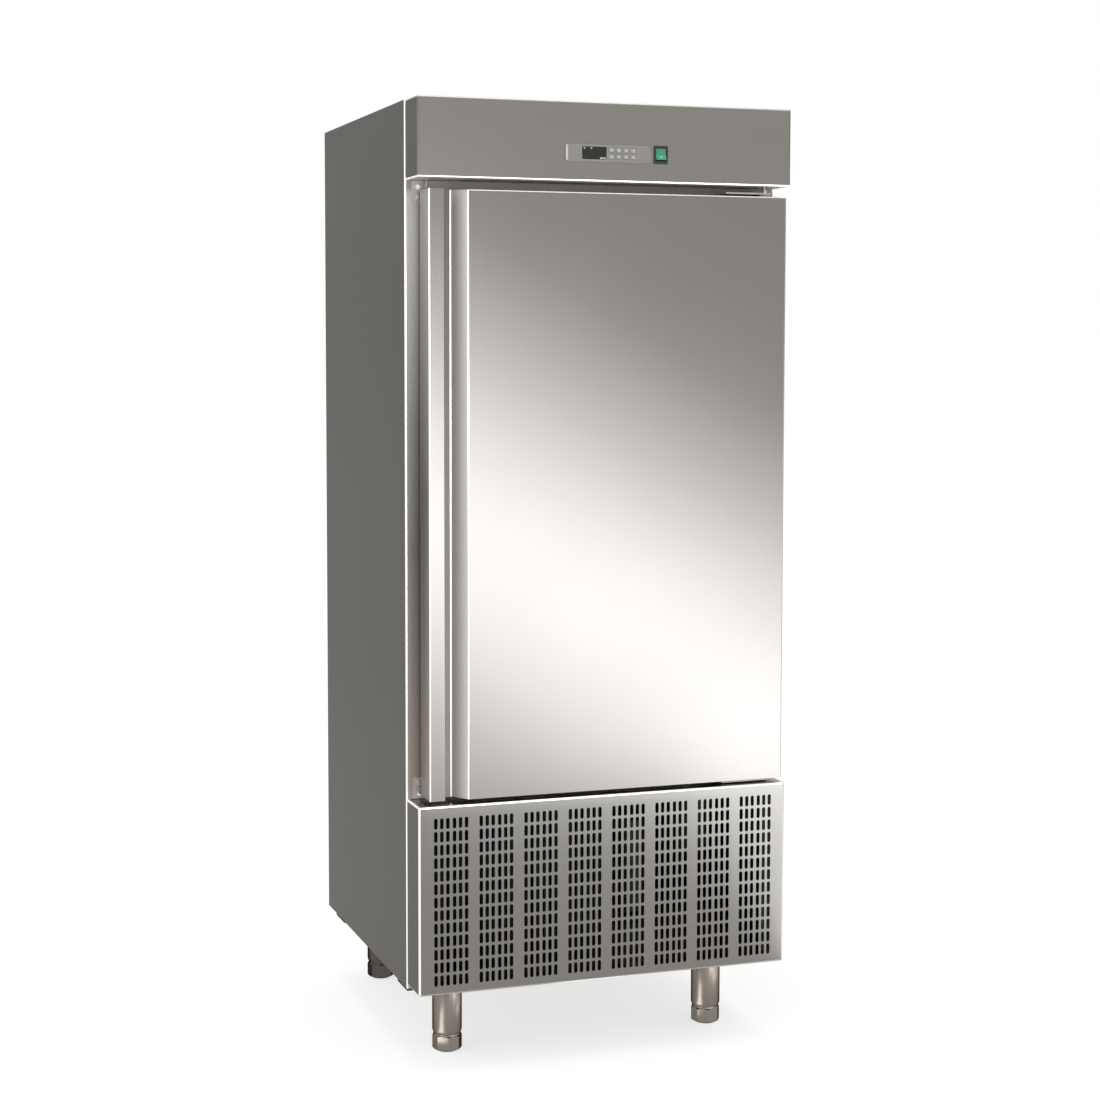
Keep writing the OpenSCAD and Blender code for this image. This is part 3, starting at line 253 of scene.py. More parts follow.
M = {
    # painted shade: the side sheets, and the fascia's and grille's ends, get a darker copy of the
    # front's steel, as for a side turned away from the light
    "side": steel("side_steel", "#6b6964", 0.28, "z", 0.006, 0.008, tint=0.53),
    "front": steel("fascia_steel", "#86827e", 0.21, "x", 0.012, 0.008),
    "door": steel("door_steel", "#827e7a", 0.21, "z", 0.006, 0.008),
    # painted light and shade: a pale, nearly matt copy of the door's steel lifts the handle recess
    # out of its shade, darker towards the top
    "recess": steel("recess_painted_light", None, 0.5, "z", metallic=0.1,
                    fade=("Z", [(0.55, "#aba39d"), (1.76, "#837c77")])),
    # painted reflection: the door's left end is lighter at top and bottom and darker in the middle
    "door_end": steel("door_end_painted_reflection", None, 0.4, "z", metallic=0.5,
                      fade=("Z", [(0.55, "#9d9289"), (1.15, "#6f6b67"), (1.76, "#aeaba7")])),
    # painted highlight: the handle's sloping side brightens towards its fold at the door's face
    "slope": steel("slope_painted_highlight", None, 0.5, "z", metallic=0.05,
                   fade=("X", [(x_slope, "#d9d6d3"), (x_fold, "#fdfaf7")])),
    "grille": steel("grille_steel", "#787571", 0.21, "z", 0.012),
    # painted highlight: the bright bends are near white, in place of the light they catch
    "edge": steel("bend_painted_highlight", "#f6f4f1", 0.24, "z", 0.02, 0.01),
    # painted highlight, softer: the side sheets' rear bends and the fascia's top bend
    "soft_edge": steel("bend_soft_painted_highlight", "#b3afab", 0.3, "z", 0.03, 0.02),
    # painted highlight, dimmer: the right-hand bends of door and grille and the grille's bottom
    # bend
    "hem": steel("bend_dim_painted_highlight", "#a19e9a", 0.34, "z", 0.03, 0.02),
    # painted light: the fascia's underside is a pale, nearly matt copy of its steel, so that in its
    # shade it shows mid-grey
    "under": steel("underside_painted_light", "#dcd7d0", 0.5, "x", metallic=0.05),
    "back": steel("back_steel", "#8a8782", 0.36, "z", 0.012, 0.02),
    # painted reflection and shade: the front frame is lighter at top and bottom, darker in the
    # middle, and its band in the gap above the door is lightened against that gap's shade
    "frame": steel("frame_steel", None, 0.4, "z", metallic=0.5,
                   fade=("Z", [(0.52, "#9f948b"), (1.05, "#6f6b67"), (1.30, "#7d7975"),
                               (1.70, "#b9b5b1"), (1.757, "#b9b5b1"), (1.768, "#8d8882")])),
    "liner": steel("liner_steel", "#bdbbb7", 0.42, "z", metallic=0.3),
    "rack": steel("rack_steel", "#b5b3af", 0.26, "x"),
    # painted shade: legs and feet darken towards the rear, where they stand under the cabinet
    "leg": steel("leg_steel", None, 0.3, "z", tint=0.12,
                 fade=("Y", [(-0.2, "#7f776f"), (0.3, "#55514c")])),
    "foot": steel("foot_steel", None, 0.26, "z", tint=0.12,
                  fade=("Y", [(-0.2, "#857e77"), (0.3, "#55514c")])),
    # painted shade: the rails under the cabinet get a dark steel
    "rail": steel("rail_painted_shade", "#45423f", 0.4, "x", metallic=0.6),
    "bracket": steel("bracket_steel", "#bdb9b4", 0.4, "x", metallic=0.4),
    "pin": steel("pin_steel", "#dcdbd8", 0.22, "z"),
    "screw": steel("screw_steel", "#d0d0ce", 0.24, "x"),
    "plate": plastic("control_silver", "#a09b96", 0.38, 1400, cloud=0.02),
    # painted shade: thin lines on the plate's bevels, bluish at the top and brownish at the bottom
    "plate_top_shade": plastic("control_top_painted_shade", "#4d6b92", 0.3, 1400, cloud=0.02),
    "plate_low_shade": plastic("control_low_painted_shade", "#86705f", 0.34, 1400, cloud=0.02),
    # painted highlight: the light on the plate's rounded left end
    "plate_end_highlight": plastic("control_painted_highlight", "#eceae7", 0.35, 1400, cloud=0.02),
    "screen": plastic("display_glass", "#24241d", 0.2, 300, 0.00001, specular=0.3, coat=0.15),
    "lit": plastic("display_mark", "#dfe3e6", 0.4, 900),
    "case": plastic("housing_black", "#2b2b2b", 0.5),
    "key": plastic("key_grey", "#b9b6b2", 0.36, 1200, cloud=0.02),
    "switch": plastic("switch_black", "#1b1b1c", 0.4, 1100),
    "rocker": plastic("rocker_green", "#48a585", 0.28, 700, 0.00002, coat=0.1),
    "box": plastic("box_grey", "#d9dadb", 0.5, 500),
    "gasket": plastic("gasket_grey", "#4a4a4b", 0.62, 600, 0.00008),
    "bush": plastic("bush_nylon", "#d8d8d0", 0.45, 700),
    "motor": plastic("motor_black", "#37373a", 0.48, 420, 0.00012),
    "fan": plastic("fan_black", "#2c2c2f", 0.42, 600),
    "cowl": plastic("cowl_black", "#2d2f31", 0.45, 260, 0.0001),
    "shell": plastic("compressor_black", "#1d1e20", 0.3, 240, 0.00015, coat=0.3),
    "mount": plastic("mount_rubber", "#232323", 0.8, 500, 0.0001),
    "gland": plastic("gland_black", "#2a2a2a", 0.5, 800),
    "galva": spangle("galvanised_sheet", "#7f7d79"),
    "foam": foam("foam_cut", "#e6d9a8"),
    "coil": fins("coil_fins", "#b7bcc0", 0.004, "X"),
    # painted shade: the condenser's fins are near black, so the grille's slots read as the shade
    # behind them
    "condenser": fins("condenser_fins_painted_dark", "#1d1e20", 0.004, "X"),
    "copper": steel("copper_tube", "#b06a3c", 0.32, "z", 0.06, 0.12),
    "chrome": steel("guard_chrome", "#d5d5d5", 0.16, "z", 0.02, 0.02),
}


# ---------------------------------------------------------------- mesh helpers

def fillet(corners, seg=6):
    """Rounds a closed outline of (x, y, radius). Returns its points and, for the side that starts
    at each point, the number of the bend it belongs to, or None on a flat."""
    points, bends = [], []
    for k, (x, y, r) in enumerate(corners):
        p = Vector((x, y))
        u = (Vector(corners[k - 1][:2]) - p).normalized()
        v = (Vector(corners[(k + 1) % len(corners)][:2]) - p).normalized()
        if r <= 0:
            points.append(p)
            bends.append(None)
            continue
        angle = u.angle(v)
        reach = r / math.tan(angle / 2)
        centre = p + (u + v).normalized() * (r / math.sin(angle / 2))
        start, end = p + u * reach - centre, p + v * reach - centre
        a = math.atan2(start.y, start.x)
        turn = (math.atan2(end.y, end.x) - a + math.pi) % (2 * math.pi) - math.pi
        for s in range(seg + 1):
            w = a + turn * s / seg
            points.append(centre + Vector((math.cos(w), math.sin(w))) * r)
            bends.append(k if s < seg else None)
    return points, bends


def round_loop(x0, x1, z0, z1, r, seg=8):
    """Points of a rectangle with rounded corners"""
    return fillet([(x0, z0, r), (x1, z0, r), (x1, z1, r), (x0, z1, r)], seg)[0]


def loop_at(y, box, inset, r, seg=5):
    """Rounded rectangle in the plane at y, inset from box, which is (x0, x1, z0, z1)"""
    x0, x1, z0, z1 = box
    return [(p.x, y, p.y)
            for p in round_loop(x0 + inset, x1 - inset, z0 + inset, z1 - inset, r, seg)]


PLACE = {"y": lambda p, h: (p[0], h, p[1]), "z": lambda p, h: (p[0], p[1], h)}


def prism(bm, points, h0, h1, axis="z", bends=None, of_bend=None):
    """Closed prism over an outline. of_bend gives the material number of a bend's faces."""
    put = PLACE[axis]
    low = [bm.verts.new(put(p, h0)) for p in points]
    high = [bm.verts.new(put(p, h1)) for p in points]
    for k in range(len(points)):
        j = (k + 1) % len(points)
        face = bm.faces.new((low[k], low[j], high[j], high[k]))
        if bends and of_bend:
            face.material_index = of_bend.get(bends[k], 0)
    bm.faces.new(low[::-1])
    bm.faces.new(high)


def rings(bm, loops, closed=False):
    """Skin over rings of as many points each. It is capped unless it closes on itself."""
    made = [[bm.verts.new(p) for p in loop] for loop in loops]
    pairs = list(zip(made, made[1:])) + ([(made[-1], made[0])] if closed else [])
    for a, b in pairs:
        for k in range(len(a)):
            j = (k + 1) % len(a)
            bm.faces.new((a[k], a[j], b[j], b[k]))
    if not closed:
        bm.faces.new(made[0][::-1])
        bm.faces.new(made[-1])


def bevel(bm, edges, width, seg=3, index=0):
    bmesh.ops.bevel(bm, geom=edges, offset=width, offset_type="OFFSET", segments=seg, profile=0.5,
                    affect="EDGES", clamp_overlap=True, material=index)


def numbers(mats):
    """The number of each material in a piece's list"""
    return {name: k for k, name in enumerate(mats)}


def piece(bm, name, mats, body, nodes=(), sharp=31):
    """Turns the mesh into a piece on its body. Folds sharper than sharp degrees stay sharp."""
    bmesh.ops.remove_doubles(bm, verts=bm.verts[:], dist=1e-7)
    bmesh.ops.recalc_face_normals(bm, faces=bm.faces[:])
    for e in bm.edges:
        if len(e.link_faces) == 2 and e.calc_face_angle(0) > math.radians(sharp):
            e.smooth = False
    for f in bm.faces:
        f.smooth = True
    mesh = bpy.data.meshes.new(name)
    bm.to_mesh(mesh)
    bm.free()
    obj = bpy.data.objects.new(name, mesh)
    bpy.context.scene.collection.objects.link(obj)
    for key in mats:
        mesh.materials.append(M[key])
    even = obj.modifiers.new("even_normals", "WEIGHTED_NORMAL")
    even.keep_sharp = True
    even.weight = 100
    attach(obj, body)
    if nodes:
        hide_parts(*nodes)


def dress(node, key, width=0.0, seg=2):
    """A CAD node that keeps its shape gets its material and, where wanted, softened edges"""
    obj = NODES[node]
    for s in obj.material_slots:
        s.material = M[key]
    if width:
        weld = obj.modifiers.new("weld", "WELD")
        weld.merge_threshold = 0.00001
        soft = obj.modifiers.new("soft_edges", "BEVEL")
        soft.width = width
        soft.segments = seg
        soft.limit_method = "ANGLE"
        soft.angle_limit = math.radians(40)
        soft.harden_normals = True


def slot_outline(x0, x1, z0, z1, seg=7):
    """Lower and upper half of a slot with round ends"""
    r, cx = (x1 - x0) / 2, (x0 + x1) / 2
    turn = [math.pi * k / seg for k in range(seg + 1)]
    return ([(cx - r * math.cos(w), z0 + r - r * math.sin(w)) for w in turn],
            [(cx + r * math.cos(w), z1 - r + r * math.sin(w)) for w in turn])


def inset_ends(values, d):
    return [values[0] + d] + values[1:-1] + [values[-1] - d]


def pan(xs, zs, y0, y1, t, holes):
    """Folded sheet pan, open at the back: its face at y0, its rim at y1, its sheet t thick.
    holes gives, for a cell of the face, True where it is cut out or (x0, x1, z0, z1) of a slot."""
    bm = bmesh.new()
    made = {}

    def v(x, y, z):
        key = (round(x, 7), round(y, 7), round(z, 7))
        if key not in made:
            made[key] = bm.verts.new(key)
        return made[key]

    def wall(p, q, ya, yb):
        bm.faces.new([v(p[0], ya, p[1]), v(q[0], ya, q[1]), v(q[0], yb, q[1]), v(p[0], yb, p[1])])

    # the sheet's front and back surface
    for y, d in ((y0, 0.0), (y0 + t, t)):
        X, Z = inset_ends(xs, d), inset_ends(zs, d)
        for i in range(len(X) - 1):
            for j in range(len(Z) - 1):
                a, b, c, e = (X[i], Z[j]), (X[i + 1], Z[j]), (X[i + 1], Z[j + 1]), (X[i], Z[j + 1])
                hole = holes.get((i, j))
                if hole is None:
                    loops = [[a, b, c, e]]
                elif hole is True:
                    loops = []
                else:
                    low, top = slot_outline(*hole)
                    loops = [[e, a, low[0], top[-1]], [b, c, top[0], low[-1]],
                             [a, b] + low[::-1], [c, e] + top[::-1]]
                for loop in loops:
                    bm.faces.new([v(p[0], y, p[1]) for p in loop])

    # the cut edges of the holes
    for (i, j), hole in holes.items():
        if hole is True:
            for p, q, other in (((i, j), (i + 1, j), (i, j - 1)),
                                ((i, j + 1), (i + 1, j + 1), (i, j + 1)),
                                ((i, j), (i, j + 1), (i - 1, j)),
                                ((i + 1, j), (i + 1, j + 1), (i + 1, j))):
                if holes.get(other) is not True:
                    wall((xs[p[0]], zs[p[1]]), (xs[q[0]], zs[q[1]]), y0, y0 + t)
        else:
            low, top = slot_outline(*hole)
            loop = low + top
            for k in range(len(loop)):
                wall(loop[k], loop[(k + 1) % len(loop)], y0, y0 + t)

    # the four folded sides, outside and inside, and their rim
    border, inner = [], []
    for d, store in ((0.0, border), (t, inner)):
        X, Z = inset_ends(xs, d), inset_ends(zs, d)
        store += [(x, Z[0]) for x in X] + [(X[-1], z) for z in Z[1:]]
        store += [(x, Z[-1]) for x in X[-2::-1]] + [(X[0], z) for z in Z[-2:0:-1]]
    for k in range(len(border)):
        j = (k + 1) % len(border)
        p, q, s, r = border[k], border[j], inner[k], inner[j]
        wall(p, q, y0, y1)
        wall(s, r, y0 + t, y1)
        bm.faces.new([v(p[0], y1, p[1]), v(q[0], y1, q[1]), v(r[0], y1, r[1]), v(s[0], y1, s[1])])
    bmesh.ops.recalc_face_normals(bm, faces=bm.faces[:])
    return bm


FOLDED = 1                      # material number of a pan's outer bends


def fold_pan(bm, x0, x1, z0, z1, y0, t, radius, seg=4):
    """Rounds the outer edges of a pan, inside and out"""

    def corner_edges(d):
        planes = [(0, x0 + d), (0, x1 - d), (2, z0 + d), (2, z1 - d), (1, y0 + d)]

        def lies_in(e, axis, at):
            return all(abs(w.co[axis] - at) < 1e-6 for w in e.verts)

        return [e for e in bm.edges if sum(lies_in(e, *plane) for plane in planes) == 2]

    bevel(bm, corner_edges(0.0), radius, seg, FOLDED)
    bevel(bm, corner_edges(t), max(radius - t, 0.0005), seg, 0)


# ---------------------------------------------------------------- cabinet sheets

SKIN = 0.0012                   # sheet of the cabinet's panels
BEND = 0.003                    # outer radius of their bends
SIDE_MATS = ["side", "edge", "soft_edge", "frame"]


def side_panel(node, name, side):
    """Side sheet with a flange in front and behind. side is -1 at the left and 1 at the right."""
    x0, x1, y0, y1, z0, z1 = span(node)
    outer, tip = (x0, x1) if side < 0 else (x1, x0)
    inner = outer - side * SKIN
    within = BEND - SKIN
    corners = [(outer, y0, BEND), (outer, y1, BEND), (tip, y1, 0), (tip, y1 - SKIN, 0),
               (inner, y1 - SKIN, within), (inner, y0 + SKIN, within),
               (tip, y0 + SKIN, 0), (tip, y0, 0)]
    front_bend, rear_bend = 0, 1
    mat = numbers(SIDE_MATS)
    points, bends = fillet(corners)
    bm = bmesh.new()
    # the front bend gets the painted highlight, the rear bend a softer one, and the front flange's
    # face the frame's painted shade
    prism(bm, points, z0, z1, "z", bends, {front_bend: mat["edge"], rear_bend: mat["soft_edge"]})
    for f in bm.faces:
        if f.material_index == mat["side"] and abs(f.calc_center_median().y - y0) < NEAR:
            f.material_index = mat["frame"]
    piece(bm, name, SIDE_MATS, "cabinet", [node])


side_panel("left_side_panel", "side_sheet_left", -1)
side_panel("right_side_panel", "side_sheet_right", 1)

# CAD nodes that keep their shape: material and width of the softened edges. The frame, leg tubes,
# rails, feet and condenser take materials with painted shade and reflection.
for node, key, width in (
        ("top_panel", "back", 0.0005), ("back_panel", "back", 0.0005), ("vent_panel", "back", 0),
        ("base_panel", "galva", 0), ("lower_deck", "galva", 0), ("upper_deck", "galva", 0),
        ("front_frame", "frame", 0), ("cabinet_insulation", "foam", 0),
        ("chamber_liner", "liner", 0), ("leg_rails", "rail", 0.0008), ("control_box", "box", 0.003),
        ("controller_body", "case", 0.0006), ("door_liner", "liner", 0.0004),
        ("hinge_bushes", "bush", 0.0003), ("hinge_bracket_top", "bracket", 0.0006),
        ("hinge_bracket_bottom", "bracket", 0.0006), ("hinge_pins", "pin", 0.0006),
        ("stop_plates", "bracket", 0.0003), ("bracket_screws", "screw", 0.0003),
        ("leg_tubes", "leg", 0.0006), ("rack_uprights", "rack", 0.0005),
        ("tray_runners", "rack", 0.0003), ("fan_shroud", "liner", 0.0006),
        ("fan_guards", "chrome", 0), ("evaporator_motors", "motor", 0.0008),
        ("evaporator_fan_upper", "fan", 0), ("evaporator_fan_lower", "fan", 0),
        ("evaporator_coil", "coil", 0), ("drip_tray", "liner", 0.0004),
        ("condenser_coil", "condenser", 0), ("condenser_shroud", "cowl", 0.0006),
        ("condenser_fan", "fan", 0), ("condenser_motor", "motor", 0.0008),
        ("compressor", "shell", 0), ("compressor_mounts", "mount", 0.0008),
        ("refrigerant_pipes", "copper", 0), ("cable_gland", "gland", 0.0003)):
    dress(node, key, width)
for node in FEET:
    dress(node, "foot", 0.0007)

# ---------------------------------------------------------------- fascia and grille

FLAT = 0.9                      # a face's normal is longer than this along the axis it faces
RIM = 0.004                     # a bend's face lies within this of the edge it rounds
EDGE_GAP = 0.001                # levels closer to the outer edge than this are left to the fold
FASCIA_BEND = 0.0034
GRILLE_SHEET = 0.0015
GRILLE_BEND = 0.0036
GRILLE_PAD = 0.003              # from the outermost slots to the plain border's cells


def cuts_of(node, y, xs, zs):
    """Cells of the face that hold none of the CAD node's own surface"""
    mesh = NODES[node].data
    mesh.calc_loop_triangles()
    flat = [[mesh.vertices[k].co for k in tri.vertices] for tri in mesh.loop_triangles
            if all(abs(mesh.vertices[k].co.y - y) < NEAR for k in tri.vertices)]

    def covered(x, z):
        for a, b, c in flat:
            s = [(q.x - p.x) * (z - p.z) - (q.z - p.z) * (x - p.x)
                 for p, q in ((a, b), (b, c), (c, a))]
            if all(w >= 0 for w in s) or all(w <= 0 for w in s):
                return True
        return False

    return {(i, j): True for i in range(len(xs) - 1) for j in range(len(zs) - 1)
            if not covered((xs[i] + xs[i + 1]) / 2, (zs[j] + zs[j + 1]) / 2)}


def thin(values, least=0.0016):
    """Drops levels that lie closer together than the least step, but never the first or last"""
    kept = [values[0]]
    for w in values[1:-1]:
        if w - kept[-1] > least and values[-1] - w > least:
            kept.append(w)
    return kept + [values[-1]]


def steps_between(low, high, values):
    """The two ends and the levels between them, thinned out"""
    return thin([low] + [w for w in values if low + EDGE_GAP < w < high - EDGE_GAP] + [high])


def middles(pairs):
    """Middles of the bars between neighbouring slots"""
    return [(a[1] + b[0]) / 2 for a, b in zip(pairs, pairs[1:])]


def is_end(face, x0, x1):
    """True for the outer surface of a pan's left or right side"""
    x = face.calc_center_median().x
    return abs(face.normal.x) > FLAT and (x < x0 + CLOSE or x > x1 - CLOSE)


fx0, fx1, fy0, fy1, fz0, fz1 = span("fascia")
xs, zs = levels("fascia", fy0)
xs, zs = steps_between(fx0, fx1, xs), steps_between(fz0, fz1, zs)
bm = pan(xs, zs, fy0, fy1, SKIN, cuts_of("fascia", fy0, xs, zs))
fold_pan(bm, fx0, fx1, fz0, fz1, fy0, SKIN, FASCIA_BEND)
mats = ["front", "edge", "soft_edge", "under", "side"]
mat = numbers(mats)
# painted highlight on the lower bend and a softer one on the top bend; the ends take the side
# sheets' painted shade, the underside its painted light
for f in bm.faces:
    z = f.calc_center_median().z
    if f.material_index == FOLDED:
        top = "soft_edge" if z > fz1 - RIM else "side"
        f.material_index = mat["edge" if z < fz0 + RIM else top]
    elif z < fz0 + SKIN + CLOSE and abs(f.normal.z) > FLAT:
        f.material_index = mat["under"]
    elif is_end(f, fx0, fx1):
        f.material_index = mat["side"]
piece(bm, "fascia_pan", mats, "cabinet", ["fascia"])

gx0, gx1, gy0, gy1, gz0, gz1 = span("grille_panel")
slots_x, slots_z = [list(zip(at[1:-1:2], at[2:-1:2])) for at in levels("grille_panel", gy0)]
xs = [gx0, slots_x[0][0] - GRILLE_PAD] + middles(slots_x) + [slots_x[-1][1] + GRILLE_PAD, gx1]
zs = [gz0, slots_z[0][0] - GRILLE_PAD] + middles(slots_z) + [slots_z[-1][1] + GRILLE_PAD, gz1]
holes = {(i + 1, j + 1): (*a, *b) for i, a in enumerate(slots_x) for j, b in enumerate(slots_z)}
bm = pan(xs, zs, gy0, gy1, GRILLE_SHEET, holes)
fold_pan(bm, gx0, gx1, gz0, gz1, gy0, GRILLE_SHEET, GRILLE_BEND)
mats = ["grille", "edge", "hem", "side"]
mat = numbers(mats)
# painted highlights on the bends, dimmer on the right and the bottom; the ends take the side
# sheets' painted shade
for f in bm.faces:
    c = f.calc_center_median()
    if f.material_index == FOLDED:
        f.material_index = mat["hem" if c.x > gx1 - RIM or c.z < gz0 + RIM else "edge"]
    elif is_end(f, gx0, gx1):
        f.material_index = mat["side"]
piece(bm, "grille_pan", mats, "cabinet", ["grille_panel"])

# ---------------------------------------------------------------- door

mats = ["door", "edge", "hem", "recess", "slope", "door_end"]
mat = numbers(mats)
CREASE = len(mats)              # marks the bend at the slope's foot until its faces are told apart
CREASE_TURN = 0.46              # up to here its normals still face the front
corners = [(dx0, dy0, 0.0024), (x_lip, dy0, 0.0015), (x_lip, y_lip, 0.0015), (x_wall, y_lip, 0),
           (x_wall, y_floor, 0.002), (x_slope, y_floor, 0.006), (x_fold, dy0, 0.0032),
           (dx1, dy0, 0.0035), (dx1, y_rear, 0.001), (x_rear, dy1, 0.001), (dx0, dy1, 0.001)]
left_bend, foot_bend, fold_bend, right_bend = 0, 5, 6, 7
points, bends = fillet(corners, 7)
bm = bmesh.new()
# the left and fold bends get the painted highlight, the right bend a dimmer one
prism(bm, points, dz0, dz1, "z", bends, {left_bend: mat["edge"], foot_bend: CREASE,
                                         fold_bend: mat["edge"], right_bend: mat["hem"]})
bm.normal_update()
# the front-facing part of the slope's foot gets the painted highlight; the recess, the slope and
# the left end take their painted light, highlight and reflection
for f in bm.faces:
    c = f.calc_center_median()
    upright = abs(f.normal.z) < 1 - FLAT
    if f.material_index == CREASE:
        f.material_index = mat["edge" if abs(f.normal.x) < CREASE_TURN else "slope"]
    elif upright and x_wall - CLOSE < c.x < x_slope and y_lip - CLOSE < c.y < y_floor + CLOSE:
        f.material_index = mat["recess"]
    elif f.material_index == mat["door"] and abs(c.x - dx0) < CLOSE:
        f.material_index = mat["door_end"]
    elif f.material_index == mat["door"] and x_slope < c.x < x_fold and upright:
        f.material_index = mat["slope"]
# the door's top front edge is rounded and given the painted highlight
top_front = [e for e in bm.edges
             if all(abs(w.co.z - dz1) < 1e-6 and w.co.y < dy0 + 0.0036 and w.co.x > x_fold - 0.002
                    for w in e.verts)]
bevel(bm, top_front, 0.0028, 3, mat["edge"])
piece(bm, "door_shell", mats, "door", ["door_skin", "door_insulation"])

# the gasket's section, as shares of its width and depth
GASKET_WIDTH = 0.020
GASKET_ROUND = 0.036            # radius of its outer corners
profile = [(0.0, 0.0), (0.0, 0.22), (0.12, 0.36), (0.02, 0.50), (0.0, 0.78), (0.10, 0.94),
           (0.30, 1.0), (0.70, 1.0), (0.90, 0.94), (1.0, 0.78), (0.98, 0.50), (0.88, 0.36),
           (1.0, 0.22), (1.0, 0.0)]
x0, x1, y0, y1, z0, z1 = span("door_gasket")
bm = bmesh.new()
rings(bm, [loop_at(y0 + out * (y1 - y0), (x0, x1, z0, z1), across * GASKET_WIDTH,
                   GASKET_ROUND - across * GASKET_WIDTH, 8)
           for across, out in profile], closed=True)
piece(bm, "gasket_bellows", ["gasket"], "door", ["door_gasket"], sharp=50)

# ---------------------------------------------------------------- controls

GAP = 0.0005                    # between the plate and what shows through it
KEY_RIM = 0.0008                # how far a key's cap stands back from the key's own outline
KEY_ROUND = 0.0018
PLATE_ROUND = 0.003
PLATE_BEVEL = 0.0018
MARK = 0.0002                   # height of a key's raised mark


def loose(bm, name):
    """An object for a modifier to work on, removed again afterwards"""
    bmesh.ops.recalc_face_normals(bm, faces=bm.faces[:])
    mesh = bpy.data.meshes.new(name)
    bm.to_mesh(mesh)
    bm.free()
    obj = bpy.data.objects.new(name, mesh)
    bpy.context.scene.collection.objects.link(obj)
    return obj


def face_with_holes(outer, inner, y0, y1):
    """A flat plate of the rounded outline, with rounded holes cut through it"""
    bm = bmesh.new()
    prism(bm, fillet(outer)[0], y0, y1, "y")
    body = loose(bm, "cut_base")
    bm = bmesh.new()
    for x0, x1, z0, z1, r in inner:
        prism(bm, round_loop(x0, x1, z0, z1, r, 6), y0 - 0.01, y1 + 0.01, "y")
    tool = loose(bm, "cut_tool")
    cut = body.modifiers.new("cut", "BOOLEAN")
    cut.operation, cut.object, cut.solver = "DIFFERENCE", tool, "EXACT"
    bm = bmesh.new()
    bm.from_object(body, bpy.context.evaluated_depsgraph_get())
    for obj in (body, tool):
        mesh = obj.data
        bpy.data.objects.remove(obj)
        bpy.data.meshes.remove(mesh)
    return bm


def ngon(cx, cz, r, count, turn=0.0, wide=1.0):
    return [(cx + wide * r * math.cos(turn + math.tau * k / count),
             cz + r * math.sin(turn + math.tau * k / count)) for k in range(count)]


def slab(cx, cz, w, h, r=0.0003):
    return [tuple(p) for p in round_loop(cx - w / 2, cx + w / 2, cz - h / 2, cz + h / 2, r, 3)]


x0, x1, y0, y1, z0, z1 = span("controller_plate")
wx0, wx1, wy0, wy1, wz0, wz1 = span("controller_display")
holes = [(wx0 - GAP, wx1 + GAP, wz0 - GAP, wz1 + GAP, 0.001)]
for kx0, kx1, _, _, kz0, kz1 in map(span, KEYS):
    holes.append((kx0 + KEY_RIM - GAP, kx1 - KEY_RIM + GAP,
                  kz0 + KEY_RIM - GAP, kz1 - KEY_RIM + GAP, KEY_ROUND))
outline = [(x, z, PLATE_ROUND) for x, z in ((x0, z0), (x1, z0), (x1, z1), (x0, z1))]
bm = face_with_holes(outline, holes, y0, y1)
ends = PLATE_ROUND + CLOSE
rim = [e for e in bm.edges if all(abs(w.co.y - y0) < 1e-6 for w in e.verts)
       and (any(all(abs(w.co.x - x) < ends for w in e.verts) for x in (x0, x1))
            or any(all(abs(w.co.z - z) < 1e-6 for w in e.verts) for z in (z0, z1)))]
bevel(bm, rim, PLATE_BEVEL, 3, 0)
bm.normal_update()
mats = ["plate", "plate_top_shade", "plate_low_shade"]
mat = numbers(mats)
# the plate's top and bottom bevels get the painted shade lines
for f in bm.faces:
    c = f.calc_center_median()
    if c.y < y0 + 0.001 and abs(f.normal.z) > 0.12 and (c.z < z0 + 0.0021 or c.z > z1 - 0.0021):
        f.material_index = mat["plate_low_shade" if c.z < z0 + 0.002 else "plate_top_shade"]
piece(bm, "control_plate", mats, "cabinet", ["controller_plate"])

# painted highlight: a near-white bar let into the plate's left end stands in for the light on its
# rounded end
bm = bmesh.new()
prism(bm, fillet([(x0 + 0.0012, z0 + 0.003, 0.0012), (x0 + 0.0052, z0 + 0.003, 0.0012),
                  (x0 + 0.0052, z1 - 0.003, 0.0012), (x0 + 0.0012, z1 - 0.003, 0.0012)], 4)[0],
      y0 - 0.0003, y0 + 0.001, "y")
piece(bm, "control_highlight_bar", ["plate_end_highlight"], "cabinet")

bm = bmesh.new()
rings(bm, [loop_at(y, (wx0, wx1, wz0, wz1), inset, r)
           for y, inset, r in ((wy1, 0.0, 0.001), (wy0 + 0.0006, 0.0, 0.001),
                               (wy0 + 0.0001, 0.0004, 0.0008), (wy0, 0.0012, 0.0006))])
piece(bm, "display_window", ["screen"], "cabinet", ["controller_display"])

# small lit marks on the window, two at its upper left and two at its lower right: place as shares
# of the window, width and height
bm = bmesh.new()
for u, w, a, b in ((0.09, 0.90, 0.0034, 0.0026), (0.38, 0.90, 0.0030, 0.0030),
                   (0.80, 0.09, 0.0058, 0.0030), (0.925, 0.09, 0.0052, 0.0028)):
    mx, mz = wx0 + (wx1 - wx0) * u, wz0 + (wz1 - wz0) * w
    prism(bm, round_loop(mx - a / 2, mx + a / 2, mz - b / 2, mz + b / 2, 0.0004, 3),
          wy0 - 0.00015, wy0 + 0.0006, "y")
piece(bm, "display_marks", ["lit"], "cabinet")

# plain shapes on the keys, around the key's middle
UP = math.pi / 2


def pair(x, z):
    return [slab(x - 0.0026, z, 0.0034, 0.0036), slab(x + 0.0018, z - 0.0005, 0.0030, 0.0026)]


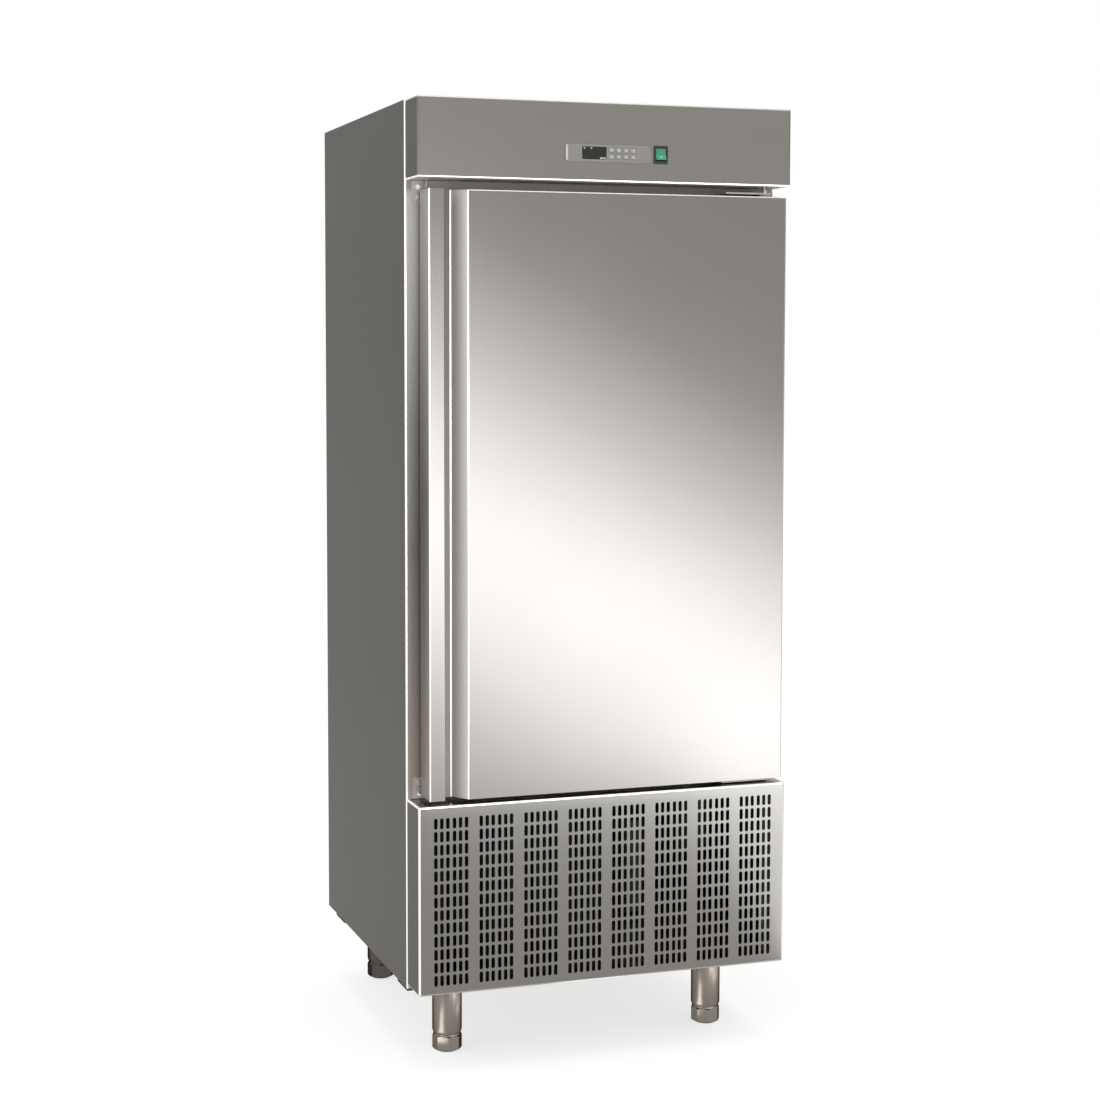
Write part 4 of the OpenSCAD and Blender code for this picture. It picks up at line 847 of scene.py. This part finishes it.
marks = {
    "key_1": pair,
    "key_2": lambda x, z: [ngon(x, z, 0.0025, 8, UP / 4)],
    "key_3": lambda x, z: [slab(x, z + 0.0017, 0.0044, 0.0012),
                           slab(x, z - 0.0017, 0.0044, 0.0012),
                           slab(x - 0.0018, z, 0.0010, 0.0018),
                           slab(x + 0.0018, z, 0.0010, 0.0018)],
    "key_4": lambda x, z: [slab(x, z, 0.0032, 0.0030)],
    "key_5": pair,
    "key_6": lambda x, z: [ngon(x, z + 0.0006, 0.0026, 3, -UP, 1.2)],
    "key_7": lambda x, z: [ngon(x, z - 0.0006, 0.0027, 3, UP, 1.1)],
    "key_8": lambda x, z: [slab(x, z - 0.0003, 0.0064, 0.0024)],
}
for k in KEYS:
    x0, x1, y0, y1, z0, z1 = span(k)
    top = y0 + MARK
    bm = bmesh.new()
    rings(bm, [loop_at(y, (x0, x1, z0, z1), inset, r)
               for y, inset, r in ((y1, 0, KEY_ROUND), (y0 + 0.0037, 0, KEY_ROUND),
                                   (y0 + 0.0036, KEY_RIM, 0.0016), (top + 0.0008, KEY_RIM, 0.0016),
                                   (top + 0.00035, KEY_RIM + 0.0002, 0.0015),
                                   (top + 0.0001, KEY_RIM + 0.0006, 0.0012),
                                   (top, KEY_RIM + 0.0016, 0.0008))])
    piece(bm, k + "_cap", ["key"], k, [k])
    bm = bmesh.new()
    for outline in marks[k]((x0 + x1) / 2, (z0 + z1) / 2):
        prism(bm, outline, y0, top + 0.0002, "y")
    piece(bm, k + "_mark", ["lit"], k)

# the switch's frame, from its back over the collar and down into the rocker's opening
x0, x1, y0, y1, z0, z1 = span("switch_body")
rx0, rx1, ry0, ry1, rz0, rz1 = span("power_rocker")
half_x, half_z = (rx1 - rx0) / 2 - 0.0003, (rz1 - rz0) / 2 + 0.0006
cx, cz = (x0 + x1) / 2, (z0 + z1) / 2
loops = [loop_at(y, (x0, x1, z0, z1), inset, r)
         for y, inset, r in ((y1, 0.0028, 0.0015), (y0 + 0.0015, 0.0028, 0.0015),
                             (y0 + 0.0014, 0.0, 0.003), (y0 + 0.0005, 0.0, 0.003),
                             (y0 + 0.0001, 0.0005, 0.0027), (y0, 0.0012, 0.0022))]
loops += [loop_at(y, (cx - half_x, cx + half_x, cz - half_z, cz + half_z), inset, 0.001)
          for y, inset in ((y0, -0.0002), (y0 + 0.0012, 0.0), (y1 - 0.002, 0.0))]
bm = bmesh.new()
rings(bm, loops)
piece(bm, "switch_collar", ["switch"], "cabinet", ["switch_body"])

dress("power_rocker", "rocker", 0.0006, 3)

# small white dash on the rocker's lower half, laid on its face
mesh = NODES["power_rocker"].data
tree = BVHTree.FromPolygons([v.co for v in mesh.vertices],
                            [tuple(f.vertices) for f in mesh.polygons])
start = Vector(((rx0 + rx1) / 2, ry0 - 0.05, rz0 + 0.27 * (rz1 - rz0)))
hit, normal, _, _ = tree.ray_cast(start, Vector((0, 1, 0)))
across = Vector((1, 0, 0))
along = normal.cross(across)
bm = bmesh.new()
rings(bm, [[hit + across * p[0] + along * p[1] + normal * h for p in slab(0, 0, 0.0042, 0.0018)]
           for h in (-0.0002, 0.00012)])
piece(bm, "rocker_mark", ["lit"], "rocker")

# ---------------------------------------------------------------- floor, light and camera

WHITE = (1, 1, 1, 1)
FLOOR_GREY = [0.46, 0.46, 0.457]
FLOOR_GLOW = 0.68               # added for the camera and mirrors only, so the floor shows white
FLOOR_HALF = 40.0
SKY = 0.78                      # level of the world's light on the object
STRIP = (0.895, 0.945, 1.0)     # colour of the soft boxes that the door mirrors
CAMERA = (-1.513, -4.249, 1.451)


def rays(tree, *kinds):
    """1 for the named kinds of ray"""
    path = tree.nodes.new("ShaderNodeLightPath")
    seen = path.outputs[kinds[0]]
    for kind in kinds[1:]:
        node = tree.nodes.new("ShaderNodeMath")
        node.operation = "MAXIMUM"
        tree.links.new(seen, node.inputs[0])
        tree.links.new(path.outputs[kind], node.inputs[1])
        seen = node.outputs[0]
    return seen


g = Graph("studio_floor")
cloudy = g.ramp(g.noise(2.0, 3), 0.3, 0.7, 0.985, 1.0)
g.link(g.tint(FLOOR_GREY, cloudy), g.shader.inputs["Base Color"])
g.set(Roughness=0.9, Specular_IOR_Level=0.0)
glow = g.add("ShaderNodeEmission")
glow.inputs["Color"].default_value = WHITE
g.link(g.times(rays(g.tree, "Is Camera Ray", "Is Glossy Ray"), FLOOR_GLOW), glow.inputs["Strength"])
both = g.add("ShaderNodeAddShader")
g.link(g.shader.outputs[0], both.inputs[0])
g.link(glow.outputs[0], both.inputs[1])
g.link(both.outputs[0], g.tree.nodes["Material Output"].inputs["Surface"])
bm = bmesh.new()
steps = [-FLOOR_HALF, -6, 0, 6, FLOOR_HALF]
grid = [[bm.verts.new((x, y, 0)) for x in steps] for y in steps]
for a, b in zip(grid, grid[1:]):
    for k in range(len(steps) - 1):
        bm.faces.new((a[k], a[k + 1], b[k + 1], b[k]))
mesh = bpy.data.meshes.new("studio_floor")
bm.to_mesh(mesh)
bm.free()
mesh.materials.append(g.mat)
floor = bpy.data.objects.new("studio_floor", mesh)
bpy.context.scene.collection.objects.link(floor)

world = bpy.data.worlds.new("studio")
bpy.context.scene.world = world
world.use_nodes = True
tree = world.node_tree
tree.nodes.clear()
level = tree.nodes.new("ShaderNodeMapRange")
level.inputs["To Min"].default_value = SKY
level.inputs["To Max"].default_value = 1.0
tree.links.new(rays(tree, "Is Camera Ray", "Is Glossy Ray", "Is Transmission Ray"),
               level.inputs["Value"])
sky = tree.nodes.new("ShaderNodeBackground")
sky.inputs["Color"].default_value = WHITE
tree.links.new(level.outputs["Result"], sky.inputs["Strength"])
out = tree.nodes.new("ShaderNodeOutputWorld")
tree.links.new(sky.outputs[0], out.inputs["Surface"])


def lamp(name, at, look, size, radiance, up=(0, 0, 1), diffuse=True, colour=(1, 1, 1)):
    """Soft box of the given width and height. Its height runs along up, and its radiance is what
    a mirror would show of it."""
    data = bpy.data.lights.new(name, "AREA")
    data.shape = "RECTANGLE"
    data.size, data.size_y = size
    data.color = colour
    data.energy = radiance * math.pi * size[0] * size[1]
    obj = bpy.data.objects.new(name, data)
    bpy.context.scene.collection.objects.link(obj)
    obj.location = at
    back = (Vector(at) - Vector(look)).normalized()
    side = Vector(up).cross(back).normalized()
    obj.rotation_euler = Matrix((side, back.cross(side), back)).transposed().to_euler()
    obj.visible_camera = False
    obj.visible_diffuse = diffuse


lamp("soft_left", (-3.4, -1.2, 2.0), (0, 0, 0.9), (2.4, 2.2), 1.3)
lamp("soft_top", (0.2, -0.6, 4.6), (0, 0, 0), (3.0, 3.0), 1.6, up=(0, 1, 0))

# nested strips, seen only in mirrors, give the door its slanting highlight
for k, wide in enumerate((1.5, 1.03, 0.71, 0.38)):
    y = -2.56 - 0.03 * k
    lamp("strip_%d" % k, (0.93, y, 0.56), (0.93, 0, 0.56), (4.4, wide), 1.12,
         (0.485, 0, 0.875), False, STRIP)

# a card on the floor brightens the grille's right end
lamp("floor_card", (1.43, -1.64, 0.012), (1.43, -1.64, 3), (1.0, 2.7), 2.55,
     (0.3, -0.953, 0), False, STRIP)

# small cards on the floor beside each front leg give it the bright line down its length
for node in FEET[:2]:
    x0, x1, y0, y1, _, _ = span(node)
    leg = Vector(((x0 + x1) / 2, (y0 + y1) / 2))
    out = (Vector(CAMERA[:2]) - leg).normalized()
    turn = math.radians(-40)
    out = Vector((out.x * math.cos(turn) - out.y * math.sin(turn),
                  out.x * math.sin(turn) + out.y * math.cos(turn)))
    for part, reach, size in (("near", 0.13, (0.05, 0.13)), ("far", 0.29, (0.11, 0.19))):
        at = leg + out * reach
        lamp(node + "_" + part, (at.x, at.y, 0.01), (at.x, at.y, 3), size, 3.6,
             (out.x, out.y, 0), False)

data = bpy.data.cameras.new("camera")
data.sensor_width = 36
data.lens = 67.75
data.shift_x, data.shift_y = 0.05, -0.05
camera = bpy.data.objects.new("camera", data)
bpy.context.scene.collection.objects.link(camera)
camera.location = CAMERA
camera.rotation_euler = (math.radians(90 - 4.03), 0, math.radians(-18.19))
bpy.context.scene.camera = camera
bpy.context.scene.view_settings.view_transform = "Standard"
